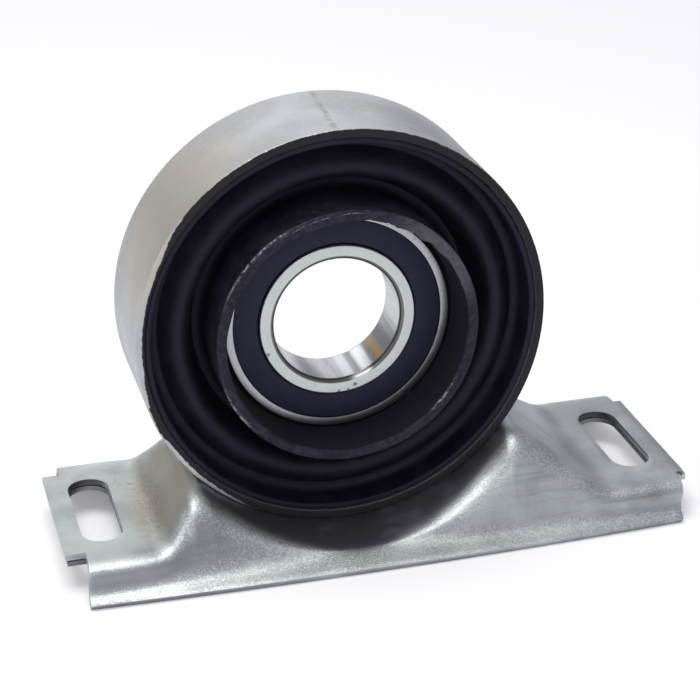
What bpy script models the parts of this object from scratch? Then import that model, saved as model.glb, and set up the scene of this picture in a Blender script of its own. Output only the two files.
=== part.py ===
"""Driveshaft centre bearing: a sealed ball bearing held by a rubber diaphragm in a steel band, on a pressed bracket.

Metres, +Z up. The bracket lies along X and stands on its two lips at Z = 0, with the origin under its middle.
The shaft axis runs along Y, and the front of the bearing faces -Y.
"""
import math

import bmesh
import bpy

mm = 0.001

# Clearances between pieces
SEAT_GAP = 0.3 * mm
BALL_GAP = 0.2 * mm
POCKET_GAP = 0.25 * mm
SEAL_LIP_GAP = 0.15 * mm
CAGE_SIDE_GAP = 0.478 * mm

# Ball bearing
BORE_DIAMETER = 30.0 * mm
RACE_WALL = 2.478 * mm
RACE_CORNER = 1.0 * mm
BORE_CHAMFER = 1.0 * mm
INNER_SHOULDER_DROP = 2.05 * mm
OUTER_SHOULDER_RISE = 2.15 * mm
LAND_STEP = 0.6 * mm
LAND_EDGE = 0.3 * mm
LAND_OVERRUN = 0.2 * mm
BALL_COUNT = 11
BALL_DIAMETER = 7.144 * mm
GROOVE_CONFORMITY = 0.52
CAGE_SHEET = 0.5 * mm
CAGE_RIBBON_WIDTH = 2.6 * mm

# Lip seals
SEAL_MOUTH_STEP = 1.35 * mm
SEAL_GROOVE_DEPTH = 0.6 * mm
SEAL_RECESS = 0.3 * mm
SEAL_WIDTH = 1.4 * mm
SEAL_BEAD_WIDTH = 0.8 * mm
SEAL_SKIN = 0.6 * mm
INSERT_SHEET = 0.4 * mm
INSERT_LIP_MARGIN = 1.45 * mm
INSERT_RIM_MARGIN = 0.95 * mm

# Sleeve round the bearing
SLEEVE_WALL = 1.5 * mm
SLEEVE_STOP_LAP = 1.7 * mm

# Rubber: hub and collar round the sleeve, a waved web, and the lining in the band
HUB_THICKNESS = 1.1 * mm
COLLAR_WALL = 2.5 * mm
COLLAR_LEAD = 10.5 * mm
COLLAR_ROUND = 0.7 * mm
WEB_THICKNESS = 3.2 * mm
COLLAR_TO_TROUGH = 2.3 * mm
TROUGH_TO_WALL = 2.6 * mm
WALL_TO_RIDGE = 1.9 * mm
RIDGE_TO_VALLEY = 4.4 * mm
VALLEY_TO_LINING = 2.3 * mm
TROUGH_DEPTH = 11.0 * mm
WALL_DEPTH = 3.93 * mm
RIDGE_DEPTH = -1.0 * mm
VALLEY_DEPTH = 3.0 * mm
LINING_THICKNESS = 1.6 * mm
LINING_SETBACK = 0.4 * mm

# Steel band round the rubber
BAND_WALL = 2.0 * mm
BAND_WIDTH = 29.4 * mm
BAND_LEAD = 6.3 * mm
BAND_EDGE = 0.4 * mm

# Pressed bracket
SHEET = 1.5 * mm
LIP_INSET = 3.7 * mm
LEFT_NOTCH_LENGTH = 4.6 * mm
RIGHT_NOTCH_LENGTH = 1.9 * mm
SHALLOW_NOTCH_STEP = 2.7 * mm
SKIRT_SPREAD = 53.0 * mm
LIP_REACH = 3.3 * mm
LIP_DROP = 1.9 * mm
LIP_BULGE = 1.7 * mm
EAR_HEIGHT = 9.1 * mm
EAR_WIDTH = 38.4 * mm
TOP_BEND = 5.0 * mm
ROOT_BEND = 3.0 * mm
TOP_BEND_SHARE = 0.55
ROOT_BEND_SHARE = 0.4
AXIS_HEIGHT = 52.1 * mm
RING_OFFSET_Y = 3.9 * mm
LEFT_EAR_LENGTH = 22.4 * mm
LEFT_FOOT_REACH = 45.5 * mm
LEFT_RAMP_ANGLE = math.radians(52.0)
LEFT_FOOT_ROUND = 6.0 * mm
LEFT_HORN_ROUND = 3.6 * mm
RIGHT_EAR_LENGTH = 21.7 * mm
RIGHT_FOOT_REACH = 60.0 * mm
RIGHT_RAMP_ANGLE = math.radians(37.0)
RIGHT_FOOT_ROUND = 9.0 * mm
RIGHT_HORN_ROUND = 4.0 * mm
HORN_WIDTH = 36.6 * mm
SADDLE_WIDTH = 49.0 * mm
SLOT_INSET = 9.8 * mm
SLOT_WIDTH = 9.7 * mm
SLOT_LENGTH = 30.4 * mm
DOUBLER_SHEET = 1.3 * mm
DOUBLER_SETBACK = 0.4 * mm
DOUBLER_MARGIN = 2.75 * mm

# Facets and sections of the curved surfaces
BAND_FACETS = 64
RUBBER_FACETS = 40
RACE_FACETS = 34
TRACK_STEPS = 6
WEB_STEPS = 2
BALL_SEGMENTS = 10
BALL_RINGS = 7
POCKET_SECTIONS = 6
SADDLE_SECTIONS = 13
FOOT_STEPS = 3
HORN_STEPS = 5
TOP_BEND_STEPS = 4
ROOT_BEND_STEPS = 3
SLOT_END_STEPS = 8

# Radii that follow from those above, from the bore outwards
BORE_RADIUS = BORE_DIAMETER / 2
BALL_RADIUS = BALL_DIAMETER / 2
GROOVE_RADIUS = GROOVE_CONFORMITY * BALL_DIAMETER
POCKET_RADIUS = BALL_RADIUS + POCKET_GAP
PITCH_RADIUS = BORE_RADIUS + RACE_WALL + BALL_GAP + BALL_RADIUS
INNER_SHOULDER_RADIUS = PITCH_RADIUS - INNER_SHOULDER_DROP
OUTER_SHOULDER_RADIUS = PITCH_RADIUS + OUTER_SHOULDER_RISE
LAND_RADIUS = INNER_SHOULDER_RADIUS - LAND_STEP
MOUTH_RADIUS = OUTER_SHOULDER_RADIUS + SEAL_MOUTH_STEP
BEARING_RADIUS = PITCH_RADIUS + BALL_RADIUS + BALL_GAP + RACE_WALL
SLEEVE_RADIUS = BEARING_RADIUS + SEAT_GAP + SLEEVE_WALL
COLLAR_RADIUS = SLEEVE_RADIUS + SEAT_GAP + HUB_THICKNESS
TROUGH_RADIUS = COLLAR_RADIUS + COLLAR_TO_TROUGH
WALL_RADIUS = TROUGH_RADIUS + TROUGH_TO_WALL
RIDGE_RADIUS = WALL_RADIUS + WALL_TO_RIDGE
VALLEY_RADIUS = RIDGE_RADIUS + RIDGE_TO_VALLEY
LINING_RADIUS = VALLEY_RADIUS + VALLEY_TO_LINING
RUBBER_RADIUS = LINING_RADIUS + LINING_THICKNESS
BAND_RADIUS = RUBBER_RADIUS + SEAT_GAP + BAND_WALL
CRADLE_RADIUS = BAND_RADIUS + SEAT_GAP

# Depths and lengths that follow from those above
BRACKET_LENGTH = LEFT_EAR_LENGTH + LEFT_FOOT_REACH + RIGHT_FOOT_REACH + RIGHT_EAR_LENGTH
RING_OFFSET_X = LEFT_EAR_LENGTH + LEFT_FOOT_REACH - BRACKET_LENGTH / 2
SEAL_DEPTH = SEAL_RECESS + SEAL_WIDTH
MID_WIDTH = SEAL_DEPTH + CAGE_SIDE_GAP + CAGE_SHEET + POCKET_RADIUS
BEARING_WIDTH = 2 * MID_WIDTH
BEARING_FACE_Y = RING_OFFSET_Y + BAND_LEAD - BAND_WIDTH / 2
SLEEVE_END = BEARING_WIDTH + SEAT_GAP + SLEEVE_WALL
BAND_END = BAND_WIDTH - BAND_LEAD
LIP_END = BRACKET_LENGTH / 2 - LIP_INSET
SLOT_CENTRE = BRACKET_LENGTH / 2 - SLOT_INSET

for leftover in list(bpy.data.objects):
    bpy.data.objects.remove(leftover, do_unlink=True)

model = bpy.data.collections.new("driveshaft_centre_bearing")
cutters = bpy.data.collections.new("cutters")
bpy.context.scene.collection.children.link(model)
bpy.context.scene.collection.children.link(cutters)

shaft_axis = bpy.data.objects.new("shaft_axis", None)
shaft_axis.location = (RING_OFFSET_X, BEARING_FACE_Y, AXIS_HEIGHT)
shaft_axis.rotation_euler = (-math.pi / 2, 0.0, 0.0)
model.objects.link(shaft_axis)


def material(name, colour, roughness, metallic):
    """A Principled material of one colour."""
    made = bpy.data.materials.new(name)
    made.use_nodes = True
    shader = made.node_tree.nodes["Principled BSDF"]
    shader.inputs["Base Color"].default_value = (*colour, 1.0)
    shader.inputs["Roughness"].default_value = roughness
    shader.inputs["Metallic"].default_value = metallic
    made.diffuse_color = (*colour, 1.0)
    return made


def add(name, data, finish, collection=model):
    """Link a new object with its material."""
    made = bpy.data.objects.new(name, data)
    if finish is not None:
        data.materials.append(finish)
    collection.objects.link(made)
    return made


def arc(centre, radius, start, end, steps):
    """Points along a circular arc in the (radius, depth) plane; angles in degrees."""
    points = []
    for step in range(steps + 1):
        angle = math.radians(start + (end - start) * step / steps)
        points.append((centre[0] + radius * math.cos(angle), centre[1] + radius * math.sin(angle)))
    return points


def turned(name, loop, facets, finish):
    """Turn a closed loop of (radius, depth) points about the shaft axis.

    Depth runs rearwards from the bearing's front face, and the loop's outer side runs forwards.
    """
    mesh = bpy.data.meshes.new(name)
    edges = [(index, (index + 1) % len(loop)) for index in range(len(loop))]
    mesh.from_pydata([(radius, 0.0, depth) for radius, depth in loop], edges, [])
    made = add(name, mesh, finish)
    made.parent = shaft_axis
    screw = made.modifiers.new("Turn", "SCREW")
    screw.axis = "Z"
    screw.steps = facets
    screw.render_steps = facets
    screw.use_merge_vertices = True
    screw.merge_threshold = 0.00001
    screw.use_smooth_shade = True
    return made


def parabola(start, control, end, steps):
    """Points of the parabola that leaves start and meets end along the two legs to the control point."""
    points = []
    for step in range(steps + 1):
        t = step / steps
        points.append(tuple((1 - t) ** 2 * a + 2 * t * (1 - t) * b + t * t * c
                            for a, b, c in zip(start, control, end)))
    return points


def flowing(keys, steps):
    """Points of a smooth curve through the key points, a Catmull-Rom spline."""
    points = []
    for index in range(len(keys) - 1):
        before = keys[max(index - 1, 0)]
        a, b = keys[index], keys[index + 1]
        after = keys[min(index + 2, len(keys) - 1)]
        for step in range(steps):
            t = step / steps
            points.append(tuple(0.5 * (2 * q + (r - p) * t + (2 * p - 5 * q + 4 * r - u) * t * t
                                       + (3 * q - p - 3 * r + u) * t ** 3)
                                for p, q, r, u in zip(before, a, b, after)))
    points.append(keys[-1])
    return points


def offset_line(line, distance):
    """The line moved sideways by a distance, to the left of its run."""
    moved = []
    for index, point in enumerate(line):
        before, after = line[max(index - 1, 0)], line[min(index + 1, len(line) - 1)]
        run = (after[0] - before[0], after[1] - before[1])
        length = math.hypot(*run)
        moved.append((point[0] - run[1] / length * distance, point[1] + run[0] / length * distance))
    return moved


def mirrored_width(points):
    """The points mirrored about the bearing's mid-width, in reverse order, so that a loop keeps its sense."""
    return [(radius, BEARING_WIDTH - depth) for radius, depth in reversed(points)]


def lofted(name, rows, finish, closed):
    """A sheet surface through rows of points, as many in each row."""
    mesh = bpy.data.meshes.new(name)
    columns = len(rows[0])
    faces = []
    for row in range(len(rows) if closed else len(rows) - 1):
        following = (row + 1) % len(rows)
        for column in range(columns - 1):
            here = row * columns + column
            there = following * columns + column
            faces.append((here, here + 1, there + 1, there))
    mesh.from_pydata([point for row in rows for point in row], [], faces)
    mesh.shade_smooth()
    return add(name, mesh, finish)


def thicken(sheet, thickness, offset):
    """Give a sheet surface its wall."""
    wall = sheet.modifiers.new("Wall", "SOLIDIFY")
    wall.thickness = thickness
    wall.offset = offset
    wall.use_even_offset = True
    wall.use_quality_normals = True


def slot_outline(side):
    """Outline of an ear's slot with round ends, its long side along Y. Side -1 is the left."""
    straight = (SLOT_LENGTH - SLOT_WIDTH) / 2
    points = []
    for end in (1, -1):
        for step in range(SLOT_END_STEPS + 1):
            angle = math.pi * step / SLOT_END_STEPS
            across = SLOT_WIDTH / 2 * math.cos(angle)
            along = straight + SLOT_WIDTH / 2 * math.sin(angle)
            points.append((side * SLOT_CENTRE + end * across, end * along))
    return points


def plate(name, outlines, middle, thickness, finish, collection=model):
    """A flat plate from closed outlines in XY; an outline inside another is a hole."""
    curve = bpy.data.curves.new(name, "CURVE")
    curve.dimensions = "2D"
    curve.fill_mode = "BOTH"
    curve.extrude = thickness / 2
    for outline in outlines:
        spline = curve.splines.new("POLY")
        spline.points.add(len(outline) - 1)
        for point, (x, y) in zip(spline.points, outline):
            point.co = (x, y, 0.0, 1.0)
        spline.use_cyclic_u = True
    made = add(name, curve, finish, collection)
    made.location.z = middle
    return made


def as_mesh(curve_object, collection):
    """Replace a curve object by its welded mesh, in the same place."""
    bpy.context.view_layer.update()
    evaluated = curve_object.evaluated_get(bpy.context.evaluated_depsgraph_get())
    mesh = bpy.data.meshes.new_from_object(evaluated)
    work = bmesh.new()
    work.from_mesh(mesh)
    bmesh.ops.remove_doubles(work, verts=work.verts, dist=0.000001)
    bmesh.ops.recalc_face_normals(work, faces=work.faces)
    work.to_mesh(mesh)
    work.free()
    made = bpy.data.objects.new(curve_object.name + "_mesh", mesh)
    made.matrix_world = curve_object.matrix_world
    collection.objects.link(made)
    bpy.data.objects.remove(curve_object, do_unlink=True)
    return made


def cut(target, tool):
    """Subtract a hidden cutter from a piece."""
    tool.hide_render = True
    tool.display_type = "WIRE"
    boolean = target.modifiers.new(tool.name, "BOOLEAN")
    boolean.operation = "DIFFERENCE"
    boolean.solver = "EXACT"
    boolean.object = tool


def corner_cutter(name, side, edge, notch_length, ear_edge):
    """A block that cuts the skirt back from one end of the bracket, and leaves the ear standing past it.

    Its inner face leans, from the notch's length at the ear to the lip's inset at the foot.
    """
    lean = (LIP_INSET - notch_length) / EAR_HEIGHT
    block = bmesh.new()
    bmesh.ops.create_cube(block, size=2.0)
    for corner in block.verts:
        height = EAR_HEIGHT * (2.0 if corner.co.z > 0 else -1.0)
        inner = LIP_END + lean * height
        outer = BRACKET_LENGTH
        corner.co.x = side * (outer if corner.co.x * side > 0 else inner)
        corner.co.y = edge * (outer if corner.co.y * edge > 0 else ear_edge)
        corner.co.z = height
    mesh = bpy.data.meshes.new(name)
    block.to_mesh(mesh)
    block.free()
    return add(name, mesh, None, cutters)


bracket_steel = material("bracket_steel", (0.44, 0.45, 0.45), 0.42, 1.0)
doubler_steel = material("doubler_steel", (0.40, 0.41, 0.42), 0.45, 1.0)
band_steel = material("band_steel", (0.56, 0.56, 0.54), 0.45, 1.0)
rubber = material("rubber", (0.020, 0.019, 0.024), 0.45, 0.0)
sleeve_steel = material("sleeve_steel", (0.30, 0.30, 0.31), 0.5, 1.0)
race_steel = material("race_steel", (0.72, 0.72, 0.71), 0.22, 1.0)
inner_race_steel = material("inner_race_steel", (0.76, 0.76, 0.75), 0.20, 1.0)
ball_steel = material("ball_steel", (0.80, 0.80, 0.80), 0.08, 1.0)
cage_steel = material("cage_steel", (0.58, 0.57, 0.55), 0.35, 1.0)
seal_rubber = material("seal_rubber", (0.045, 0.050, 0.070), 0.5, 0.0)
insert_steel = material("insert_steel", (0.50, 0.50, 0.50), 0.4, 1.0)


def shoulder(side, foot_reach, angle, foot_round, horn_round):
    """The bracket's top line from one end to its saddle: ear, foot, ramp and horn. Side -1 is the left.

    Returns its (x, height) points and the angle round the shaft axis at which the saddle takes over.
    """
    slope = (-side * math.cos(angle), math.sin(angle))
    normal = (side * math.sin(angle), math.cos(angle))
    points = [(side * BRACKET_LENGTH / 2, EAR_HEIGHT)]
    foot_x = RING_OFFSET_X + side * foot_reach
    foot = (foot_x + side * foot_round * math.tan(angle / 2), EAR_HEIGHT + foot_round)
    for step in range(FOOT_STEPS + 1):
        turn = angle * step / FOOT_STEPS
        points.append((foot[0] - side * foot_round * math.sin(turn), foot[1] - foot_round * math.cos(turn)))
    start = (foot_x - normal[0] * horn_round, EAR_HEIGHT - normal[1] * horn_round)
    from_axis = (start[0] - RING_OFFSET_X, start[1] - AXIS_HEIGHT)
    along = from_axis[0] * slope[0] + from_axis[1] * slope[1]
    reach = CRADLE_RADIUS + horn_round
    distance = -along - math.sqrt(along ** 2 - from_axis[0] ** 2 - from_axis[1] ** 2 + reach ** 2)
    horn = (start[0] + slope[0] * distance, start[1] + slope[1] * distance)
    first = math.atan2(normal[1], normal[0])
    last = math.atan2(AXIS_HEIGHT - horn[1], RING_OFFSET_X - horn[0])
    crest = []
    for step in range(HORN_STEPS + 1):
        turn = first + (last - first) * step / HORN_STEPS
        crest.append((horn[0] + horn_round * math.cos(turn), horn[1] + horn_round * math.sin(turn)))
    halfway = tuple((a + b) / 2 for a, b in zip(points[-1], crest[0]))
    return points + [halfway] + crest, math.atan2(horn[1] - AXIS_HEIGHT, horn[0] - RING_OFFSET_X)


def web_line():
    """The bracket's sections along X, as (x, height, half the width of the web)."""
    left, left_angle = shoulder(-1, LEFT_FOOT_REACH, LEFT_RAMP_ANGLE, LEFT_FOOT_ROUND, LEFT_HORN_ROUND)
    right, right_angle = shoulder(1, RIGHT_FOOT_REACH, RIGHT_RAMP_ANGLE, RIGHT_FOOT_ROUND, RIGHT_HORN_ROUND)
    saddle = []
    for step in range(1, SADDLE_SECTIONS):
        turn = left_angle + (right_angle - left_angle) * step / SADDLE_SECTIONS
        saddle.append((RING_OFFSET_X + CRADLE_RADIUS * math.cos(turn), AXIS_HEIGHT + CRADLE_RADIUS * math.sin(turn)))
    sections = []
    for x, height in left + saddle + right[::-1]:
        horn = left[-1] if x < RING_OFFSET_X else right[-1]
        if left[-1][0] <= x <= right[-1][0]:
            foot_width, foot_height = SADDLE_WIDTH, AXIS_HEIGHT - CRADLE_RADIUS
        else:
            foot_width, foot_height = SKIRT_SPREAD, EAR_HEIGHT
        share = min(1.0, (height - foot_height) / (horn[1] - foot_height))
        sections.append((x, height, (foot_width + (HORN_WIDTH - foot_width) * share) / 2))
    return sections


def half_section(x, height, width):
    """Half of the bracket's section at x, from its middle to the end of the front lip.

    A flat, a bend round the top corner, the slanted skirt, a bend at the root of the lip, and the lip's flare.
    """
    reach = LIP_REACH + LIP_BULGE * max(0.0, 1.0 - (x / LIP_END) ** 2)
    lip_end = (-SKIRT_SPREAD / 2 - reach, SHEET * reach / math.hypot(reach, LIP_DROP))
    root = (-SKIRT_SPREAD / 2, lip_end[1] + LIP_DROP)
    corner = (-width, height)
    leg = (root[0] - corner[0], root[1] - corner[1])
    length = math.hypot(*leg)
    down = min(TOP_BEND / length, TOP_BEND_SHARE)
    up = min(ROOT_BEND / length, ROOT_BEND_SHARE)
    bend_start = (-width + length * down, height)
    bend_end = (corner[0] + leg[0] * down, corner[1] + leg[1] * down)
    flare_start = (root[0] - leg[0] * up, root[1] - leg[1] * up)
    flare_end = ((root[0] + lip_end[0]) / 2, (root[1] + lip_end[1]) / 2)
    top_bend = parabola(bend_start, corner, bend_end, TOP_BEND_STEPS)
    root_bend = parabola(flare_start, root, flare_end, ROOT_BEND_STEPS)
    return [(x, y, z) for y, z in [(0.0, height)] + top_bend + root_bend + [lip_end]]


def make_bracket():
    """One pressing: a channel with slotted ears, ramps, a saddle and flared lips, made as a sheet with a wall."""
    rows = [half_section(*section) for section in web_line()]
    bracket = lofted("support_bracket", rows, bracket_steel, closed=False)
    mirror = bracket.modifiers.new("Rear half", "MIRROR")
    mirror.use_axis = (False, True, False)
    mirror.merge_threshold = 0.00001
    thicken(bracket, SHEET, -1.0)
    for side, notch_length in ((-1, LEFT_NOTCH_LENGTH), (1, RIGHT_NOTCH_LENGTH)):
        slot = plate(f"slot_{side}", [slot_outline(side)], EAR_HEIGHT, EAR_HEIGHT, None, cutters)
        cut(bracket, as_mesh(slot, cutters))
        for edge in (-1, 1):
            shallow = side > 0 and edge < 0
            ear_edge = EAR_WIDTH / 2 + (SHALLOW_NOTCH_STEP if shallow else 0.0)
            cut(bracket, corner_cutter(f"corner_{side}_{edge}", side, edge, notch_length, ear_edge))


def make_doublers():
    """The second ply under each ear: a flat plate with the ear's slot."""
    top = EAR_HEIGHT - SHEET - SEAT_GAP
    outer = BRACKET_LENGTH / 2 - DOUBLER_SETBACK
    inner = SLOT_CENTRE - SLOT_WIDTH / 2 - DOUBLER_MARGIN
    for name, side in (("ear_doubler_left", -1), ("ear_doubler_right", 1)):
        edge = EAR_WIDTH / 2
        outline = [(side * inner, -side * edge), (side * outer, -side * edge),
                   (side * outer, side * edge), (side * inner, side * edge)]
        plate(name, [outline, slot_outline(side)], top - DOUBLER_SHEET / 2, DOUBLER_SHEET, doubler_steel)


def make_band():
    """The rolled steel ring, its outer edges broken."""
    inner = BAND_RADIUS - BAND_WALL
    loop = [(BAND_RADIUS - BAND_EDGE, BAND_END), (BAND_RADIUS, BAND_END - BAND_EDGE),
            (BAND_RADIUS, BAND_EDGE - BAND_LEAD), (BAND_RADIUS - BAND_EDGE, -BAND_LEAD),
            (inner, -BAND_LEAD), (inner, BAND_END)]
    turned("housing_band", loop, BAND_FACETS, band_steel)


def make_rubber():
    """The rubber moulding in three rings: the lining in the band, the waved web, and the hub with its collar."""
    front = LINING_SETBACK - BAND_LEAD
    rear = BAND_END - LINING_SETBACK
    edge = COLLAR_ROUND
    lining = [(RUBBER_RADIUS, rear), (RUBBER_RADIUS, front), (LINING_RADIUS + edge, front),
              (LINING_RADIUS, front + edge), (LINING_RADIUS, rear)]
    turned("rubber_lining", lining, RUBBER_FACETS, rubber)

    rim = LINING_RADIUS - SEAT_GAP
    root = COLLAR_RADIUS + SEAT_GAP
    wave = flowing([(rim, VALLEY_DEPTH), (VALLEY_RADIUS, VALLEY_DEPTH), (RIDGE_RADIUS, RIDGE_DEPTH),
                    (WALL_RADIUS, WALL_DEPTH), (TROUGH_RADIUS, TROUGH_DEPTH), (root, TROUGH_DEPTH)], WEB_STEPS)
    face = [(min(max(radius, root), rim), depth) for radius, depth in offset_line(wave, WEB_THICKNESS / 2)]
    back = [(min(max(radius, root), rim), depth) for radius, depth in offset_line(wave, -WEB_THICKNESS / 2)]
    turned("rubber_web", face + back[::-1], RUBBER_FACETS, rubber)

    hub = SLEEVE_RADIUS + SEAT_GAP
    inner = COLLAR_RADIUS - COLLAR_WALL
    collar = [(COLLAR_RADIUS, SLEEVE_END), (COLLAR_RADIUS, edge - COLLAR_LEAD), (COLLAR_RADIUS - edge, -COLLAR_LEAD),
              (inner + edge, -COLLAR_LEAD), (inner, edge - COLLAR_LEAD),
              (BEARING_RADIUS + SEAT_GAP, -SEAT_GAP), (hub, -SEAT_GAP), (hub, SLEEVE_END)]
    turned("rubber_collar", collar, RUBBER_FACETS, rubber)


def make_sleeve():
    """The steel sleeve that the bearing is pressed into, with a stop behind the bearing."""
    bore = BEARING_RADIUS + SEAT_GAP
    stop = BEARING_RADIUS - SLEEVE_STOP_LAP
    loop = [(SLEEVE_RADIUS, SLEEVE_END), (SLEEVE_RADIUS, 0.0), (bore, 0.0), (bore, BEARING_WIDTH + SEAT_GAP),
            (stop, BEARING_WIDTH + SEAT_GAP), (stop, SLEEVE_END)]
    turned("inner_sleeve", loop, RACE_FACETS, sleeve_steel)


def make_races():
    """The two bearing rings, each with its ball groove, and the outer one with a groove for each seal."""
    corner = RACE_CORNER
    rim = [(BEARING_RADIUS - corner, BEARING_WIDTH), (BEARING_RADIUS, BEARING_WIDTH - corner),
           (BEARING_RADIUS, corner), (BEARING_RADIUS - corner, 0.0)]
    groove = MOUTH_RADIUS + SEAL_GROOVE_DEPTH
    wall_front = SEAL_DEPTH - SEAL_BEAD_WIDTH - SEAT_GAP
    wall_rear = SEAL_DEPTH + SEAT_GAP
    centre = BEARING_RADIUS - RACE_WALL - GROOVE_RADIUS
    half_angle = math.degrees(math.acos((OUTER_SHOULDER_RADIUS - centre) / GROOVE_RADIUS))
    steps = [(MOUTH_RADIUS, 0.0), (MOUTH_RADIUS, wall_front), (groove, wall_front), (groove, wall_rear),
             (OUTER_SHOULDER_RADIUS, wall_rear)]
    track = arc((centre, MID_WIDTH), GROOVE_RADIUS, -half_angle, half_angle, TRACK_STEPS)
    turned("outer_race", rim + steps + track + mirrored_width(steps), RACE_FACETS, race_steel)

    edge = LAND_EDGE
    land_end = SEAL_DEPTH + LAND_OVERRUN
    steps = [(LAND_RADIUS - edge, 0.0), (LAND_RADIUS, edge), (LAND_RADIUS, land_end),
             (INNER_SHOULDER_RADIUS, land_end + edge)]
    centre = BORE_RADIUS + RACE_WALL + GROOVE_RADIUS
    half_angle = math.degrees(math.acos((centre - INNER_SHOULDER_RADIUS) / GROOVE_RADIUS))
    track = arc((centre, MID_WIDTH), GROOVE_RADIUS, 180 - half_angle, 180 + half_angle, TRACK_STEPS)
    bore_side = [(BORE_RADIUS + BORE_CHAMFER, 0.0), (BORE_RADIUS, BORE_CHAMFER)]
    loop = mirrored_width(steps[::-1]) + track + steps[::-1] + bore_side + mirrored_width(bore_side)
    turned("inner_race", loop, RACE_FACETS, inner_race_steel)


def make_balls():
    """The balls, evenly round the pitch circle, each with its origin at its own centre."""
    mesh = bpy.data.meshes.new("ball")
    work = bmesh.new()
    bmesh.ops.create_uvsphere(work, u_segments=BALL_SEGMENTS, v_segments=BALL_RINGS, radius=BALL_RADIUS)
    work.to_mesh(mesh)
    work.free()
    mesh.shade_smooth()
    mesh.materials.append(ball_steel)
    for index in range(BALL_COUNT):
        angle = 2 * math.pi * index / BALL_COUNT
        ball = add(f"ball_{index + 1:02d}", mesh, None)
        ball.parent = shaft_axis
        ball.location = (PITCH_RADIUS * math.cos(angle), PITCH_RADIUS * math.sin(angle), MID_WIDTH)


def make_cage():
    """The ribbon cage: two pressed halves, each with a round pocket over every ball and a flat between pockets."""
    flat = SEAT_GAP / 2
    for name, side in (("cage_front", -1), ("cage_rear", 1)):
        rows = []
        for index in range(BALL_COUNT):
            for step in range(POCKET_SECTIONS + 1):
                turn = math.pi * (step / POCKET_SECTIONS - 0.5)
                along = POCKET_RADIUS * math.sin(turn)
                angle = 2 * math.pi * index / BALL_COUNT + along / PITCH_RADIUS
                row = []
                for across in (-CAGE_RIBBON_WIDTH / 2, 0.0, CAGE_RIBBON_WIDTH / 2):
                    lift = math.sqrt(max(POCKET_RADIUS ** 2 - along ** 2 - across ** 2, flat ** 2))
                    radius = PITCH_RADIUS + across
                    row.append((radius * math.cos(angle), radius * math.sin(angle), MID_WIDTH + side * lift))
                rows.append(row if side > 0 else row[::-1])
        half = lofted(name, rows, cage_steel, closed=True)
        half.parent = shaft_axis
        thicken(half, CAGE_SHEET, 1.0)


def make_seals():
    """The two lip seals: a rubber ring that snaps into the outer race, with a steel washer in its back."""
    lip = LAND_RADIUS + SEAL_LIP_GAP
    rim = MOUTH_RADIUS - SEAT_GAP
    bead = MOUTH_RADIUS + SEAL_GROOVE_DEPTH - SEAT_GAP
    bead_front = SEAL_DEPTH - SEAL_BEAD_WIDTH
    insert_bore = lip + INSERT_LIP_MARGIN
    insert_rim = MOUTH_RADIUS - INSERT_RIM_MARGIN
    floor = SEAL_RECESS + SEAL_SKIN
    front = [(bead, SEAL_DEPTH), (bead, bead_front), (rim, bead_front), (rim, SEAL_RECESS),
             (lip + SEAL_LIP_GAP, SEAL_RECESS), (lip, SEAL_RECESS + SEAL_LIP_GAP), (lip, SEAL_DEPTH),
             (insert_bore - SEAT_GAP, SEAL_DEPTH), (insert_bore - SEAT_GAP, floor),
             (insert_rim + SEAT_GAP, floor), (insert_rim + SEAT_GAP, SEAL_DEPTH)]
    near = floor + SEAT_GAP
    far = near + INSERT_SHEET
    washer = [(insert_rim, far), (insert_rim, near), (insert_bore, near), (insert_bore, far)]
    turned("front_seal", front, RACE_FACETS, seal_rubber)
    turned("front_seal_insert", washer, RACE_FACETS, insert_steel)
    turned("rear_seal", mirrored_width(front), RACE_FACETS, seal_rubber)
    turned("rear_seal_insert", mirrored_width(washer), RACE_FACETS, insert_steel)


make_bracket()
make_doublers()
make_band()
make_rubber()
make_sleeve()
make_races()
make_balls()
make_cage()
make_seals()
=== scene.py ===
"""A driveshaft centre bearing: a sealed ball bearing in a rubber diaphragm and steel band, on a pressed bracket."""

import bisect
import math

import bmesh
import bpy
from mathutils import Matrix, Vector, noise


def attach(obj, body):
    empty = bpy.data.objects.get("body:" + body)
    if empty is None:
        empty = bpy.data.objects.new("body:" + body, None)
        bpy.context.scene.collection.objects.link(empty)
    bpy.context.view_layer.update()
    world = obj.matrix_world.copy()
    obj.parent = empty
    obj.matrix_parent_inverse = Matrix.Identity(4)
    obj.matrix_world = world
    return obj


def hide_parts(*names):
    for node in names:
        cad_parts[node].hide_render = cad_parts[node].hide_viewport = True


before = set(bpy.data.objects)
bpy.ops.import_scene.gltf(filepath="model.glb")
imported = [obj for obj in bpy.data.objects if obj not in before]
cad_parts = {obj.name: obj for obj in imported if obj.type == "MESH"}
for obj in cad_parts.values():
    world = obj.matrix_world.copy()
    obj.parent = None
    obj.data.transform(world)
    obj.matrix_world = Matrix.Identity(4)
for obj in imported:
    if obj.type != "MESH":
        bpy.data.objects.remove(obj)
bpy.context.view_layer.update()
mm = 0.001

# Camera, standing to the left of the shaft axis and looking down on the front of the bearing. Its place comes
# from the ellipses of the bearing and the band and from the straight edges of the bracket.
EYE = Vector((-117.9, -418.6, 242.6)) * mm
EYE_TURN = math.radians(15.37)
EYE_DOWN = math.radians(24.79)
EYE_ROLL = math.radians(0.40)
SENSOR = 36.0
FOCAL_PIXELS = 2038.5
PHOTO_PIXELS = 700


def added(name, data):
    """Put a new object in the scene."""
    made = bpy.data.objects.new(name, data)
    bpy.context.scene.collection.objects.link(made)
    return made


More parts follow.
